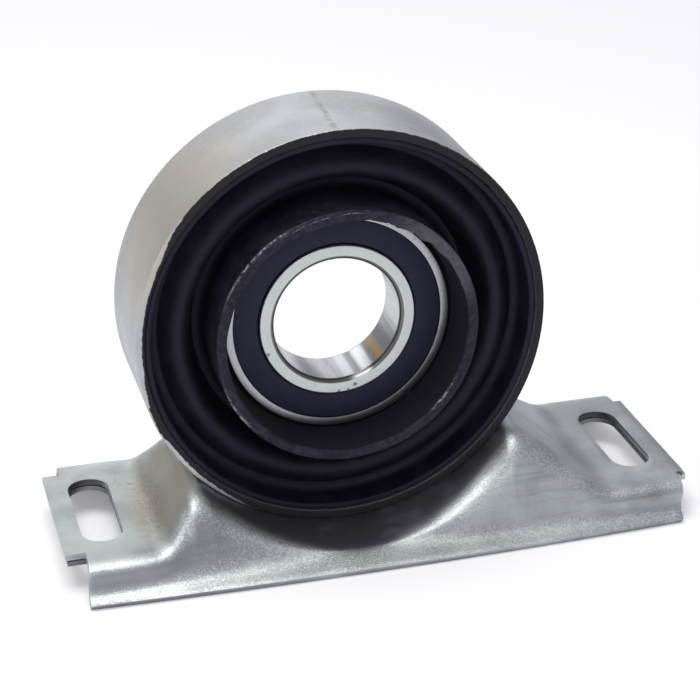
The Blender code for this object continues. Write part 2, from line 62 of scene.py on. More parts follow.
ahead = Vector((math.sin(EYE_TURN) * math.cos(EYE_DOWN), math.cos(EYE_TURN) * math.cos(EYE_DOWN),
                -math.sin(EYE_DOWN)))
level = Vector((math.cos(EYE_TURN), -math.sin(EYE_TURN), 0.0))
below = ahead.cross(level)
across = level * math.cos(EYE_ROLL) + below * math.sin(EYE_ROLL)
upward = -(below * math.cos(EYE_ROLL) - level * math.sin(EYE_ROLL))
eye_data = bpy.data.cameras.new("eye")
eye_data.sensor_width = SENSOR
eye_data.lens = SENSOR * FOCAL_PIXELS / PHOTO_PIXELS
eye_data.clip_start = 0.01
eye = added("eye", eye_data)
eye.matrix_world = Matrix.Translation(EYE) @ Matrix((across, upward, -ahead)).transposed().to_4x4()
bpy.context.scene.camera = eye
bpy.context.scene.view_settings.view_transform = "Standard"


# Studio: a pale floor, a pale world and four softboxes, a strong one overhead and weaker ones at the left, behind
# and in front. The floor and the world show as plain white behind the part, and the floor keeps its shadow.
AIM = (0.0, 0.0, 0.04)
ROOM = (0.42, 0.41, 0.45, 1.0)
PAPER = (0.93, 0.93, 0.94, 1.0)
WHITE = (1.0, 1.0, 1.0, 1.0)
PAPER_GLOW = 0.19
FLOOR_HALF_WIDTH = 4.0


def put(tree, kind, settings=(), **inputs):
    """Add a node. An input is named as on the node, or i0, i1 by its order, and takes a value or a socket."""
    made = tree.nodes.new(kind)
    for name, value in dict(settings).items():
        setattr(made, name, value)
    for name, value in inputs.items():
        by_order = name[0] == "i" and name[1:].isdigit()
        socket = made.inputs[int(name[1:])] if by_order else made.inputs[name.replace("_", " ")]
        if isinstance(value, bpy.types.NodeSocket):
            tree.links.new(value, socket)
        else:
            socket.default_value = value
    return made


def sums(operation, first, second=0.0, third=0.0):
    """A Math node's result, in the tree that its first socket belongs to."""
    tree = next(value for value in (first, second, third) if isinstance(value, bpy.types.NodeSocket)).id_data
    return put(tree, "ShaderNodeMath", {"operation": operation}, i0=first, i1=second, i2=third).outputs[0]


def softbox(name, place, size, power, aim):
    """A square lamp turned towards a point."""
    light = bpy.data.lights.new(name, "AREA")
    light.size = size
    light.energy = power
    lamp = added(name, light)
    lamp.location = place
    lamp.rotation_euler = (Vector(aim) - Vector(place)).to_track_quat("-Z", "Y").to_euler()


def meshed(name, work):
    """A mesh from what was modelled in a bmesh."""
    mesh = bpy.data.meshes.new(name)
    work.to_mesh(mesh)
    work.free()
    return mesh


softbox("overhead_softbox", (-0.15, 0.00, 0.80), 0.50, 3.4, AIM)
softbox("left_softbox", (-0.80, -0.20, 0.40), 0.50, 0.9, AIM)
softbox("rear_softbox", (0.07, 1.15, 0.42), 0.90, 1.9, AIM)
softbox("front_softbox", (-0.25, -1.00, 0.55), 0.40, 1.3, AIM)

world = bpy.data.worlds.new("pale_room")
bpy.context.scene.world = world
world.use_nodes = True
sky = world.node_tree
sky.nodes.clear()
ray = put(sky, "ShaderNodeLightPath")
unlit = sums("MAXIMUM", ray.outputs["Is Camera Ray"], ray.outputs["Is Transmission Ray"])
room = put(sky, "ShaderNodeMix", {"data_type": "RGBA"}, i0=unlit, i6=ROOM, i7=WHITE)
air = put(sky, "ShaderNodeBackground", Color=room.outputs[2], Strength=1.0)
put(sky, "ShaderNodeOutputWorld", Surface=air.outputs[0])

work = bmesh.new()
bmesh.ops.create_grid(work, x_segments=1, y_segments=1, size=FLOOR_HALF_WIDTH)
studio_floor = added("studio_floor", meshed("studio_floor", work))
paper = bpy.data.materials.new("white_paper")
paper.use_nodes = True
sheet = paper.node_tree
sheet.nodes.clear()
matt = put(sheet, "ShaderNodeBsdfDiffuse", Color=PAPER)
glow = put(sheet, "ShaderNodeEmission", Color=WHITE, Strength=PAPER_GLOW)
seen = put(sheet, "ShaderNodeLightPath")
lift = put(sheet, "ShaderNodeEmission", Color=WHITE, Strength=0.0)
choice = put(sheet, "ShaderNodeMixShader", i0=seen.outputs["Is Camera Ray"], i1=lift.outputs[0], i2=glow.outputs[0])
whole = put(sheet, "ShaderNodeAddShader", i0=matt.outputs[0], i1=choice.outputs[0])
put(sheet, "ShaderNodeOutputMaterial", Surface=whole.outputs[0])
studio_floor.data.materials.append(paper)


# Support bracket: one pressing in 1.5 mm bright steel sheet. A channel with flared lips, a slotted ear at each
# end, a ramp and a horn each side, and a saddle for the band between them. The saddle sits left of the middle.
SHEET = 1.5 * mm
BRACKET_LENGTH = 149.6 * mm
LIP_INSET = 3.7 * mm
LEFT_NOTCH_LENGTH = 4.6 * mm
RIGHT_NOTCH_LENGTH = 1.9 * mm
SHALLOW_NOTCH_STEP = 2.7 * mm
SKIRT_SPREAD = 53.0 * mm
LIP_REACH = 3.3 * mm
LIP_DROP = 1.9 * mm
LIP_BULGE = 1.7 * mm
EAR_HEIGHT = 9.1 * mm
EAR_WIDTH = 38.4 * mm
TOP_BEND = 8.0 * mm
ROOT_BEND = 3.0 * mm
TOP_BEND_SHARE = 0.55
ROOT_BEND_SHARE = 0.4
AXIS_HEIGHT = 52.1 * mm
RING_OFFSET_X = -6.9 * mm
SADDLE_RADIUS = 48.25 * mm
LEFT_FOOT_X = -52.4 * mm
LEFT_RAMP_ANGLE = math.radians(52.0)
LEFT_FOOT_ROUND = 6.0 * mm
LEFT_HORN_ROUND = 3.6 * mm
RIGHT_FOOT_X = 53.1 * mm
RIGHT_RAMP_ANGLE = math.radians(37.0)
RIGHT_FOOT_ROUND = 9.0 * mm
RIGHT_HORN_ROUND = 4.0 * mm
HORN_WIDTH = 35.2 * mm
HORN_EASING = 4.0 * mm
SADDLE_WIDTH = 49.0 * mm
SLOT_SPACING = 130.0 * mm
SLOT_WIDTH = 9.7 * mm
SLOT_LENGTH = 30.4 * mm
CUT_EDGE = 0.22 * mm
SHARP_ANGLE = math.radians(35)
LIP_END = BRACKET_LENGTH / 2 - LIP_INSET
EAR_STEPS = 8
BEND_STEPS = 10
RAMP_STEPS = 6
CREST_STEPS = 16
SADDLE_STEPS = 64
FLECK_SIZE = 0.28 * mm
STAIN = (0.44, 0.385, 0.28)
RUST = (0.20, 0.15, 0.08)
BURR = (0.05, 0.05, 0.05)


def parabola(start, control, end, steps):
    """Points of the parabola that leaves start and meets end along the two legs to the control point."""
    points = []
    for step in range(steps + 1):
        t = step / steps
        points.append(tuple((1 - t) ** 2 * a + 2 * t * (1 - t) * b + t * t * c
                            for a, b, c in zip(start, control, end)))
    return points


def shoulder(foot_x, angle, foot_round, horn_round, side):
    """The top line from one end of the bracket to its saddle, as (x, height), and where the saddle takes over."""
    slope = (-side * math.cos(angle), math.sin(angle))
    normal = (side * math.sin(angle), math.cos(angle))
    foot = (foot_x + side * foot_round * math.tan(angle / 2), EAR_HEIGHT + foot_round)
    turns = [angle * s / BEND_STEPS for s in range(BEND_STEPS + 1)]
    bend = [(foot[0] - side * foot_round * math.sin(a), foot[1] - foot_round * math.cos(a)) for a in turns]
    end = side * BRACKET_LENGTH / 2
    points = [(end + (bend[0][0] - end) * s / EAR_STEPS, EAR_HEIGHT) for s in range(EAR_STEPS)] + bend
    start = (foot_x - normal[0] * horn_round, EAR_HEIGHT - normal[1] * horn_round)
    off = (start[0] - RING_OFFSET_X, start[1] - AXIS_HEIGHT)
    along = off[0] * slope[0] + off[1] * slope[1]
    gone = -along - math.sqrt(along ** 2 - off[0] ** 2 - off[1] ** 2 + (SADDLE_RADIUS + horn_round) ** 2)
    horn = (start[0] + slope[0] * gone, start[1] + slope[1] * gone)
    first = math.atan2(normal[1], normal[0])
    last = math.atan2(AXIS_HEIGHT - horn[1], RING_OFFSET_X - horn[0])
    turns = [first + (last - first) * s / CREST_STEPS for s in range(CREST_STEPS + 1)]
    crest = [(horn[0] + horn_round * math.cos(a), horn[1] + horn_round * math.sin(a)) for a in turns]
    ramp = [tuple(a + (b - a) * s / RAMP_STEPS for a, b in zip(bend[-1], crest[0])) for s in range(1, RAMP_STEPS)]
    return points + ramp + crest, math.atan2(horn[1] - AXIS_HEIGHT, horn[0] - RING_OFFSET_X)


def pressing_sections():
    """The sections along the bracket, as (x, height, half the width of the web)."""
    left, left_angle = shoulder(LEFT_FOOT_X, LEFT_RAMP_ANGLE, LEFT_FOOT_ROUND, LEFT_HORN_ROUND, -1)
    right, right_angle = shoulder(RIGHT_FOOT_X, RIGHT_RAMP_ANGLE, RIGHT_FOOT_ROUND, RIGHT_HORN_ROUND, 1)
    saddle = []
    for step in range(1, SADDLE_STEPS):
        angle = left_angle + (right_angle - left_angle) * step / SADDLE_STEPS
        saddle.append((RING_OFFSET_X + SADDLE_RADIUS * math.cos(angle), AXIS_HEIGHT + SADDLE_RADIUS * math.sin(angle)))
    sections = []
    for x, height in left + saddle + right[::-1]:
        horn = left[-1] if x < RING_OFFSET_X else right[-1]
        inside = left[-1][0] <= x <= right[-1][0]
        foot_width = SADDLE_WIDTH if inside else SKIRT_SPREAD
        foot_height = AXIS_HEIGHT - SADDLE_RADIUS if inside else EAR_HEIGHT
        share = min(1.0, (height - foot_height) / (horn[1] - foot_height))
        sections.append((x, height, (foot_width + (HORN_WIDTH - foot_width) * share) / 2))
    return sections


def levelled(sections, reach):
    """The same sections with their widths evened out along the bracket, so that no crease runs down the skirts."""
    places = [section[0] for section in sections]
    even = []
    for x, height, width in sections:
        near = []
        for step in range(-4, 5):
            at = min(max(x + reach * step / 4, places[0]), places[-1])
            after = max(1, bisect.bisect_left(places, at))
            (x0, _, w0), (x1, _, w1) = sections[after - 1], sections[after]
            near.append(w0 + (w1 - w0) * (at - x0) / (x1 - x0))
        even.append((x, height, sum(near) / len(near)))
    return even


def pressing_half(x, height, width):
    """Half a section: the flat web, the top bend, the slanted skirt, the bend at its root and the flared lip."""
    reach = LIP_REACH + LIP_BULGE * max(0.0, 1.0 - (x / LIP_END) ** 2)
    lip_end = (-SKIRT_SPREAD / 2 - reach, SHEET * reach / math.hypot(reach, LIP_DROP))
    root = (-SKIRT_SPREAD / 2, lip_end[1] + LIP_DROP)
    corner = (-width, height)
    leg = (root[0] - corner[0], root[1] - corner[1])
    length = math.hypot(*leg)
    down = min(TOP_BEND / length, TOP_BEND_SHARE)
    up = min(ROOT_BEND / length, ROOT_BEND_SHARE)
    bend_start = (-width + TOP_BEND, height)
    bend_end = (corner[0] + leg[0] * down, corner[1] + leg[1] * down)
    flare_start = (root[0] - leg[0] * up, root[1] - leg[1] * up)
    flare_end = ((root[0] + lip_end[0]) / 2, (root[1] + lip_end[1]) / 2)
    flat = [(bend_start[0] * s / 4, height) for s in range(4)]
    skirt = [tuple(a + (b - a) * s / 3 for a, b in zip(bend_end, flare_start)) for s in (1, 2)]
    lip = [tuple(a + (b - a) * s / 2 for a, b in zip(flare_end, lip_end)) for s in (1, 2)]
    half = flat + parabola(bend_start, corner, bend_end, 10) + skirt + parabola(flare_start, root, flare_end, 8) + lip
    return [(x, y, z) for y, z in half]


def slot_outline(centre, width, length, steps=20):
    """A slot with round ends, its long side along Y."""
    straight = (length - width) / 2
    return [(centre + side * width / 2 * math.cos(math.pi * s / steps),
             side * (straight + width / 2 * math.sin(math.pi * s / steps)))
            for side in (1, -1) for s in range(steps + 1)]


def prism(name, outline, low, high, lean=0.0):
    """A closed solid from an outline in XY, between two heights. Points nearest the bracket's middle may lean."""
    body = bmesh.new()
    face = body.faces.new([body.verts.new((x, y, low)) for x, y in outline])
    raised = bmesh.ops.extrude_face_region(body, geom=[face])["geom"]
    innermost = min(abs(x) for x, y in outline)
    for corner in raised:
        if isinstance(corner, bmesh.types.BMVert):
            corner.co.z = high
            if abs(corner.co.x) <= innermost + CUT_EDGE / 2:
                corner.co.x += math.copysign(1.0, corner.co.x) * lean * (high - low)
    bmesh.ops.recalc_face_normals(body, faces=body.faces)
    return added(name, meshed(name, body))


def lofted(name, rows, closed=False):
    """A sheet through rows of points. A closed sheet joins its last row to its first."""
    columns = len(rows[0])
    strips = [(r, (r + 1) % len(rows)) for r in range(len(rows) if closed else len(rows) - 1)]
    mesh = bpy.data.meshes.new(name)
    mesh.from_pydata([point for row in rows for point in row], [],
                     [(r * columns + c, r * columns + c + 1, n * columns + c + 1, n * columns + c)
                      for r, n in strips for c in range(columns - 1)])
    return added(name, mesh)


def take_away(piece, tool):
    """Cut a tool's shape out of a piece."""
    cut = piece.modifiers.new("cut", "BOOLEAN")
    cut.operation = "DIFFERENCE"
    cut.solver = "EXACT"
    cut.object = tool


def settled(piece):
    """Bake a piece's modifiers into its mesh, and smooth it apart from its sharp edges."""
    bpy.context.view_layer.update()
    mesh = bpy.data.meshes.new_from_object(piece.evaluated_get(bpy.context.evaluated_depsgraph_get()))
    piece.modifiers.clear()
    piece.data = mesh
    mesh.shade_smooth()
    mesh.set_sharp_from_angle(angle=SHARP_ANGLE)


def ease_edges(piece, width, angle=40):
    """Round the edges that a shear or a tool leaves sharp."""
    easing = piece.modifiers.new("eased", "BEVEL")
    easing.width = width
    easing.segments = 2
    easing.limit_method = "ANGLE"
    easing.angle_limit = math.radians(angle)


bracket = lofted("bracket_pressing", [pressing_half(*section)
                                      for section in levelled(pressing_sections(), HORN_EASING)])
halves = bracket.modifiers.new("rear half", "MIRROR")
halves.use_axis = (False, True, False)
halves.merge_threshold = 0.00001
wall = bracket.modifiers.new("wall", "SOLIDIFY")
wall.thickness = SHEET
wall.offset = -1.0
wall.use_even_offset = True
wall.use_quality_normals = True
tools = []
for side, notch_length in ((-1, LEFT_NOTCH_LENGTH), (1, RIGHT_NOTCH_LENGTH)):
    tools.append(prism(f"slot_tool_{side}", slot_outline(side * SLOT_SPACING / 2, SLOT_WIDTH, SLOT_LENGTH),
                       EAR_HEIGHT / 2, EAR_HEIGHT * 2))
    lean = (LIP_INSET - notch_length) / EAR_HEIGHT
    for edge in (-1, 1):
        shallow = SHALLOW_NOTCH_STEP if side > 0 and edge < 0 else 0.0
        near, far = side * (LIP_END - lean * EAR_HEIGHT), side * BRACKET_LENGTH
        inner, outer = edge * (EAR_WIDTH / 2 + shallow), edge * BRACKET_LENGTH
        corners = [(near, inner), (far, inner), (far, outer), (near, outer)]
        tools.append(prism(f"corner_tool_{side}_{edge}", corners, -EAR_HEIGHT, EAR_HEIGHT * 2, lean))
for tool in tools:
    take_away(bracket, tool)
ease_edges(bracket, CUT_EDGE)
settled(bracket)
for tool in tools:
    bpy.data.objects.remove(tool, do_unlink=True)


def effect(name, inputs, outputs, kind="ShaderNodeTree"):
    """Start a node group with named sockets."""
    group = bpy.data.node_groups.new(name, kind)
    for label, kind, value in inputs:
        socket = group.interface.new_socket(label, in_out="INPUT", socket_type=f"NodeSocket{kind}")
        if value is not None:
            socket.default_value = value
    for label, kind in outputs:
        group.interface.new_socket(label, in_out="OUTPUT", socket_type=f"NodeSocket{kind}")
    return group, group.nodes.new("NodeGroupInput").outputs, group.nodes.new("NodeGroupOutput").inputs


def apply_effect(group, **inputs):
    """Place an effect in the tree that its Vector comes from, and return its outputs."""
    return put(inputs["Vector"].id_data, "ShaderNodeGroup", {"node_tree": group}, **inputs).outputs


def product(*factors):
    """The factors multiplied together."""
    total = factors[0]
    for factor in factors[1:]:
        total = sums("MULTIPLY", total, factor)
    return total


def vectors(operation, first, second):
    """A Vector Math node's result."""
    return put(first.id_data, "ShaderNodeVectorMath", {"operation": operation}, i0=first, i1=second).outputs[0]


def length_of(vector):
    """How long a vector is."""
    return put(vector.id_data, "ShaderNodeVectorMath", {"operation": "LENGTH"}, i0=vector).outputs["Value"]


def clouds(vector, size, detail=3.0, roughness=0.55):
    """Noise from 0 to 1 whose features are about as wide as size."""
    scale = sums("DIVIDE", 1.0, size) if isinstance(size, bpy.types.NodeSocket) else 1.0 / size
    return put(vector.id_data, "ShaderNodeTexNoise", Vector=vector, Scale=scale, Detail=detail,
               Roughness=roughness).outputs[0]


def between(value, low, high):
    """Stretch a value so that low becomes 0 and high becomes 1, clamped and eased."""
    return put(value.id_data, "ShaderNodeMapRange", {"interpolation_type": "SMOOTHSTEP"}, Value=value,
               From_Min=low, From_Max=high).outputs[0]


def within(value, low, high):
    """Spread a value from 0 to 1 over the range from low to high."""
    return put(value.id_data, "ShaderNodeMapRange", Value=value, To_Min=low, To_Max=high).outputs[0]


def tint(share, first, second):
    """Mix two colours."""
    pair = [(*c, 1.0) if isinstance(c, tuple) else c for c in (first, second)]
    return put(share.id_data, "ShaderNodeMix", {"data_type": "RGBA"}, i0=share, i6=pair[0], i7=pair[1]).outputs[2]


def over(colour, shade, *shares):
    """Lay a shade over a colour, as strongly as the shares make when multiplied."""
    return tint(product(*shares), colour, shade)


# Metal skin: broad clouding, fine grain and scattered sparkle, as on bare sheet.
metal_skin, given, result = effect("metal_skin", [
    ("Vector", "Vector", None), ("Light", "Color", (0.5, 0.5, 0.5, 1.0)), ("Dark", "Color", (0.4, 0.4, 0.4, 1.0)),
    ("Cloud Size", "Float", 12 * mm), ("Grain Size", "Float", 0.4 * mm), ("Contrast", "Float", 0.5)],
    [("Color", "Color"), ("Gloss", "Float"), ("Height", "Float")])
broad = clouds(given["Vector"], given["Cloud Size"], 4.0)
fine = clouds(given["Vector"], given["Grain Size"], 2.0, 0.6)
spread = between(broad, 0.35, 0.65)
speck = sums("SUBTRACT", fine, 0.5)
mixed = sums("MULTIPLY_ADD", speck, given["Contrast"], spread)
clear = put(metal_skin, "ShaderNodeClamp", i0=mixed).outputs[0]
metal_skin.links.new(tint(clear, given["Dark"], given["Light"]), result["Color"])
metal_skin.links.new(fine, result["Gloss"])
metal_skin.links.new(sums("MULTIPLY_ADD", broad, 0.3, fine), result["Height"])

# Patch: a ragged spot round a point, for stains, rust and rubs.
patch, given, result = effect("patch", [
    ("Vector", "Vector", None), ("Centre", "Vector", (0.0, 0.0, 0.0)), ("Stretch", "Vector", (1.0, 1.0, 1.0)),
    ("Reach", "Float", 5 * mm), ("Ragged", "Float", 1.0), ("Break Size", "Float", 1.5 * mm)], [("Mask", "Float")])
away = vectors("SUBTRACT", given["Vector"], given["Centre"])
shaped = vectors("MULTIPLY", away, given["Stretch"])
ratio = sums("DIVIDE", length_of(shaped), given["Reach"])
torn = sums("SUBTRACT", clouds(given["Vector"], given["Break Size"], 4.0, 0.65), 0.5)
edge_ratio = sums("MULTIPLY_ADD", torn, given["Ragged"], ratio)
patch.links.new(between(edge_ratio, 1.0, 0.35), result["Mask"])

# Scratches: thin broken lines along one direction of a stretched field.
scratches, given, result = effect("scratches", [
    ("Vector", "Vector", None), ("Turn", "Vector", (0.0, 0.0, 0.0)), ("Stretch", "Vector", (0.1, 1.0, 1.0)),
    ("Size", "Float", 4 * mm), ("Width", "Float", 0.02)], [("Mask", "Float")])
laid = put(scratches, "ShaderNodeVectorRotate", {"rotation_type": "EULER_XYZ"}, Vector=given["Vector"],
           Rotation=given["Turn"]).outputs[0]
drawn = clouds(vectors("MULTIPLY", laid, given["Stretch"]), given["Size"], 1.0)
level_line = sums("ABSOLUTE", sums("SUBTRACT", drawn, 0.5))
line = put(scratches, "ShaderNodeMapRange", Value=level_line, From_Min=given["Width"], From_Max=0.0).outputs[0]
broken = between(clouds(given["Vector"], given["Size"], 2.0), 0.5, 0.62)
scratches.links.new(product(line, broken), result["Mask"])

# Place about the shaft: the distance from its axis, and how far across, along and above it.
about_shaft, given, result = effect("about_shaft", [
    ("Vector", "Vector", None), ("Axis", "Vector", (RING_OFFSET_X, 0.0, AXIS_HEIGHT))],
    [("Radius", "Float"), ("Across", "Float"), ("Depth", "Float"), ("Up", "Float")])
off = vectors("SUBTRACT", given["Vector"], given["Axis"])
radius = length_of(vectors("MULTIPLY", off, (1.0, 0.0, 1.0)))
about_shaft.links.new(radius, result["Radius"])
for label, socket in zip(("Across", "Depth", "Up"), put(about_shaft, "ShaderNodeSeparateXYZ", Vector=off).outputs):
    about_shaft.links.new(socket, result[label])


def bare_metal(place, light, dark, cloud_size, grain_size, contrast):
    """The outputs of the metal skin. Its two sizes are in millimetres."""
    return apply_effect(metal_skin, Vector=place, Light=(*light, 1.0), Dark=(*dark, 1.0),
                        Cloud_Size=cloud_size * mm, Grain_Size=grain_size * mm, Contrast=contrast)


def spot(place, centre, reach, ragged, break_size, stretch=(1.0, 1.0, 1.0)):
    """A patch's mask. Its centre and its two sizes are in millimetres."""
    return apply_effect(patch, Vector=place, Centre=tuple(v * mm for v in centre), Stretch=stretch,
                        Reach=reach * mm, Ragged=ragged, Break_Size=break_size * mm)[0]


def finish(colour, roughness, metallic, height=None, depth=0.0, specular=0.5, sheen=(1.0, 1.0, 1.0)):
    """A material on the Principled shader, from constants or from the sockets of its own tree."""
    tree = colour.id_data
    shader = put(tree, "ShaderNodeBsdfPrincipled", Base_Color=colour, Roughness=roughness, Metallic=metallic)
    shader.inputs["Specular IOR Level"].default_value = specular
    shader.inputs["Specular Tint"].default_value = (*sheen, 1.0)
    if height is not None:
        bump = put(tree, "ShaderNodeBump", Height=height, Distance=depth, Strength=1.0)
        tree.links.new(bump.outputs[0], shader.inputs["Normal"])
    put(tree, "ShaderNodeOutputMaterial", Surface=shader.outputs[0])


def blank(name):
    """An empty material, and in it the place on the piece, in metres, in the part's own frame."""
    made = bpy.data.materials.new(name)
    made.use_nodes = True
    made.node_tree.nodes.clear()
    return made, put(made.node_tree, "ShaderNodeTexCoord").outputs["Object"]


def coated(piece, material):
    """Give a piece one material."""
    piece.data.materials.clear()
    piece.data.materials.append(material)


bright_sheet, place = blank("bright_pressed_sheet")
tree = place.id_data
skin = bare_metal(place, (0.58, 0.62, 0.61), (0.43, 0.46, 0.46), 14, 0.35, 0.9)
about = apply_effect(about_shaft, Vector=place)
facing = put(tree, "ShaderNodeSeparateXYZ", Vector=put(tree, "ShaderNodeNewGeometry").outputs["Normal"]).outputs
steep = sums("ABSOLUTE", facing[1])
across_sheet = put(tree, "ShaderNodeSeparateXYZ", Vector=place).outputs[1]
# Faces turned inward or downward, which get the painted shade under and inside the pressing below.
inward = between(product(facing[1], across_sheet), -2 * mm, -10 * mm)
painted_shade_underneath = sums("MAXIMUM", inward, between(facing[2], -0.75, -0.95))
painted_saddle_shade = between(about["Radius"], SADDLE_RADIUS + 0.9 * mm, SADDLE_RADIUS + 0.2 * mm)
on_top = between(steep, 0.35, 0.05)
bent = product(between(steep, 0.12, 0.40), between(steep, 0.90, 0.74))
walls = between(steep, 0.6, 0.95)

drawn = clouds(vectors("MULTIPLY", place, (0.05, 1.0, 1.0)), 1.6 * mm, 4.0)
colour = over(skin["Color"], (0.32, 0.34, 0.35), walls, between(drawn, 0.48, 0.70), 0.6)
# A broad darker patch over the skirts at the lower left.
darker_patch = spot(place, (-50.0, -26.5, 5.0), 20, 0.5, 5, (0.55, 1.0, 1.0))
colour = over(colour, (0.27, 0.28, 0.31), darker_patch, walls, 0.65)
# Flecks on the bends: the dark ones are grain of the sheet, the bright ones are painted sparkle of light over that
# grain.
fleck = put(tree, "ShaderNodeTexVoronoi", Vector=place, Scale=1.0 / FLECK_SIZE)
chance = put(tree, "ShaderNodeSeparateColor", Color=fleck.outputs["Color"]).outputs[0]
colour = over(colour, (0.88, 0.91, 0.90), bent, between(chance, 0.45, 0.95), 0.45)
colour = over(colour, (0.24, 0.25, 0.26), bent, between(chance, 0.30, 0.02), 0.30)

oiled = spot(place, (-49.0, -3.0, 13.0), 17, 0.7, 3, (1.35, 0.62, 1.0))
colour = over(colour, STAIN, oiled, on_top, 0.62)
freckled = spot(place, (-52.5, -3.0, 10.5), 8, 1.6, 1.6, (1.9, 0.40, 1.0))
specks = between(clouds(place, 0.5 * mm, 3.0, 0.7), 0.50, 0.62)
colour = over(colour, RUST, freckled, specks, on_top, 0.55)
colour = over(colour, RUST, spot(place, (65.2, -26.2, 7.0), 2.0, 2.6, 0.6, (0.55, 1.0, 1.1)), 0.35)
colour = over(colour, BURR, spot(place, (73.5, -21.3, 9.0), 1.1, 2.0, 0.5), 0.9)
scored = apply_effect(scratches, Vector=place, Turn=(0.0, 0.0, 0.5), Size=5 * mm, Width=0.010)[0]
colour = over(colour, (0.75, 0.78, 0.78), scored, 0.30)
nicked = apply_effect(scratches, Vector=place, Turn=(0.0, 0.0, 1.4), Size=3 * mm, Width=0.012)[0]
by_slot = spot(place, (-56.5, 10.0, 9.1), 5, 0.6, 2, (1.0, 0.6, 1.0))
colour = over(colour, (0.12, 0.12, 0.13), nicked, by_slot, 0.6)

# Painted shade in the saddle under the band, with lighter bluish clouds as painted reflections of the band's underside.
painted_saddle_reflection = between(clouds(place, 9 * mm, 2.0), 0.46, 0.70)
colour = over(colour, tint(painted_saddle_reflection, (0.19, 0.175, 0.21), (0.34, 0.35, 0.41)), painted_saddle_shade, 0.85)
# Painted shade: faces that turn inward or down, under the ears and inside the skirts, are painted almost black.
colour = over(colour, (0.075, 0.073, 0.080), painted_shade_underneath, 0.85)
rough = sums("MULTIPLY_ADD", skin["Gloss"], 0.24, sums("MULTIPLY_ADD", bent, -0.05, 0.34))
height = sums("MULTIPLY_ADD", chance, product(bent, 0.45), skin["Height"])
finish(colour, rough, 1.0, height, 0.05 * mm)
coated(bracket, bright_sheet)
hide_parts("support_bracket")
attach(bracket, "mount")


# Ear doublers: a second plain plate under each ear, with the same slot, set back a little from the ear's end.
# They show at the ear's edge and in the walls of the slots.
DOUBLER_SHEET = 1.3 * mm
DOUBLER_SETBACK = 0.4 * mm
DOUBLER_LENGTH = 17.0 * mm
PLY_GAP = 0.3 * mm
# The doublers' steel is a darker copy of the bracket's, as painted shade under the ears and in the walls of the slots.
doubler_sheet_in_painted_shade, place = blank("plain_doubler_sheet_in_painted_shade")
skin = bare_metal(place, (0.34, 0.35, 0.36), (0.20, 0.21, 0.22), 8, 0.4, 0.8)
finish(skin["Color"], 0.5, 1.0, skin["Height"], 0.05 * mm)
for name, side in (("ear_doubler_left", -1), ("ear_doubler_right", 1)):
    outer = side * (BRACKET_LENGTH / 2 - DOUBLER_SETBACK)
    inner = outer - side * DOUBLER_LENGTH
    top = EAR_HEIGHT - SHEET - PLY_GAP
    half = EAR_WIDTH / 2
    doubler = prism(name.replace("ear_", "ply_"), [(inner, -half), (outer, -half), (outer, half), (inner, half)],
                    top - DOUBLER_SHEET, top)
    tool = prism("doubler_slot_tool", slot_outline(side * SLOT_SPACING / 2, SLOT_WIDTH, SLOT_LENGTH), 0.0, EAR_HEIGHT)
    take_away(doubler, tool)
    ease_edges(doubler, CUT_EDGE)
    settled(doubler)
    bpy.data.objects.remove(tool, do_unlink=True)
    coated(doubler, doubler_sheet_in_painted_shade)
    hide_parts(name)
    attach(doubler, "mount")


# Housing band: a strip of 2 mm steel rolled into a ring and closed by a welded seam that crosses its top at a
# slant. Its outside is dull and lightly stained. A black film covers most of its front edge and is rubbed off at
# the left.
BAND_DIAMETER = 96.2 * mm
BAND_WALL = 2.0 * mm
BAND_WIDTH = 29.4 * mm
BAND_LEAD = 6.3 * mm
BAND_EDGE = 0.4 * mm
BEARING_FACE_Y = -4.5 * mm
BAND_FRONT = BEARING_FACE_Y - BAND_LEAD
BAND_END = BAND_WIDTH - BAND_LEAD
BAND_FACETS = 360
SEAM_SLANT = 0.058
SEAM_SHIFT = 0.7 * mm
SEAM_WANDER = 1.6 * mm
SEAM_CORE = 0.2 * mm
SEAM_EDGE = 1.1 * mm
PITS_PER_METRE = 260.0
FILM_COLOUR = (0.008, 0.007, 0.011)
FILM_RADIUS = 47.6 * mm
FILM_WANDER = 0.9 * mm
FILM_LOSS = 1.3 * mm
FILM_DEPTH = 0.18 * mm
FILM_FADE = 0.1 * mm
WELD_DISTANCE = 0.002 * mm
NEARLY_STRAIGHT = 0.25

turning, given, result = effect("turned_ring", [
    ("Profile", "Geometry", None), ("Facets", "Int", None), ("Finish", "Material", None)],
    [("Ring", "Geometry")], "GeometryNodeTree")
count = put(turning, "GeometryNodeAttributeDomainSize", i0=given["Profile"]).outputs["Point Count"]
around = sums("ADD", given["Facets"], 1.0)
closing = sums("ADD", count, 1.0)
net = put(turning, "GeometryNodeMeshGrid", Vertices_X=around, Vertices_Y=closing).outputs["Mesh"]
index = put(turning, "GeometryNodeInputIndex").outputs[0]
column = sums("MODULO", sums("MODULO", index, closing), count)
sector = sums("FLOOR", sums("DIVIDE", sums("ADD", index, 0.5), closing))
spin = sums("MULTIPLY", sector, sums("DIVIDE", 2 * math.pi, given["Facets"]))
station = put(turning, "GeometryNodeSampleIndex", {"data_type": "FLOAT_VECTOR"}, i0=given["Profile"],
              Value=put(turning, "GeometryNodeInputPosition").outputs[0], Index=column).outputs[0]
swung = put(turning, "ShaderNodeVectorRotate", {"rotation_type": "Z_AXIS"}, Vector=station, Angle=spin).outputs[0]
wrapped = put(turning, "GeometryNodeSetPosition", Geometry=net, Position=swung).outputs[0]
joined = put(turning, "GeometryNodeMergeByDistance", Geometry=wrapped, Distance=WELD_DISTANCE).outputs[0]
faced = put(turning, "GeometryNodeFlipFaces", Mesh=joined).outputs[0]
solid = put(turning, "GeometryNodeRealizeInstances", Geometry=faced).outputs[0]
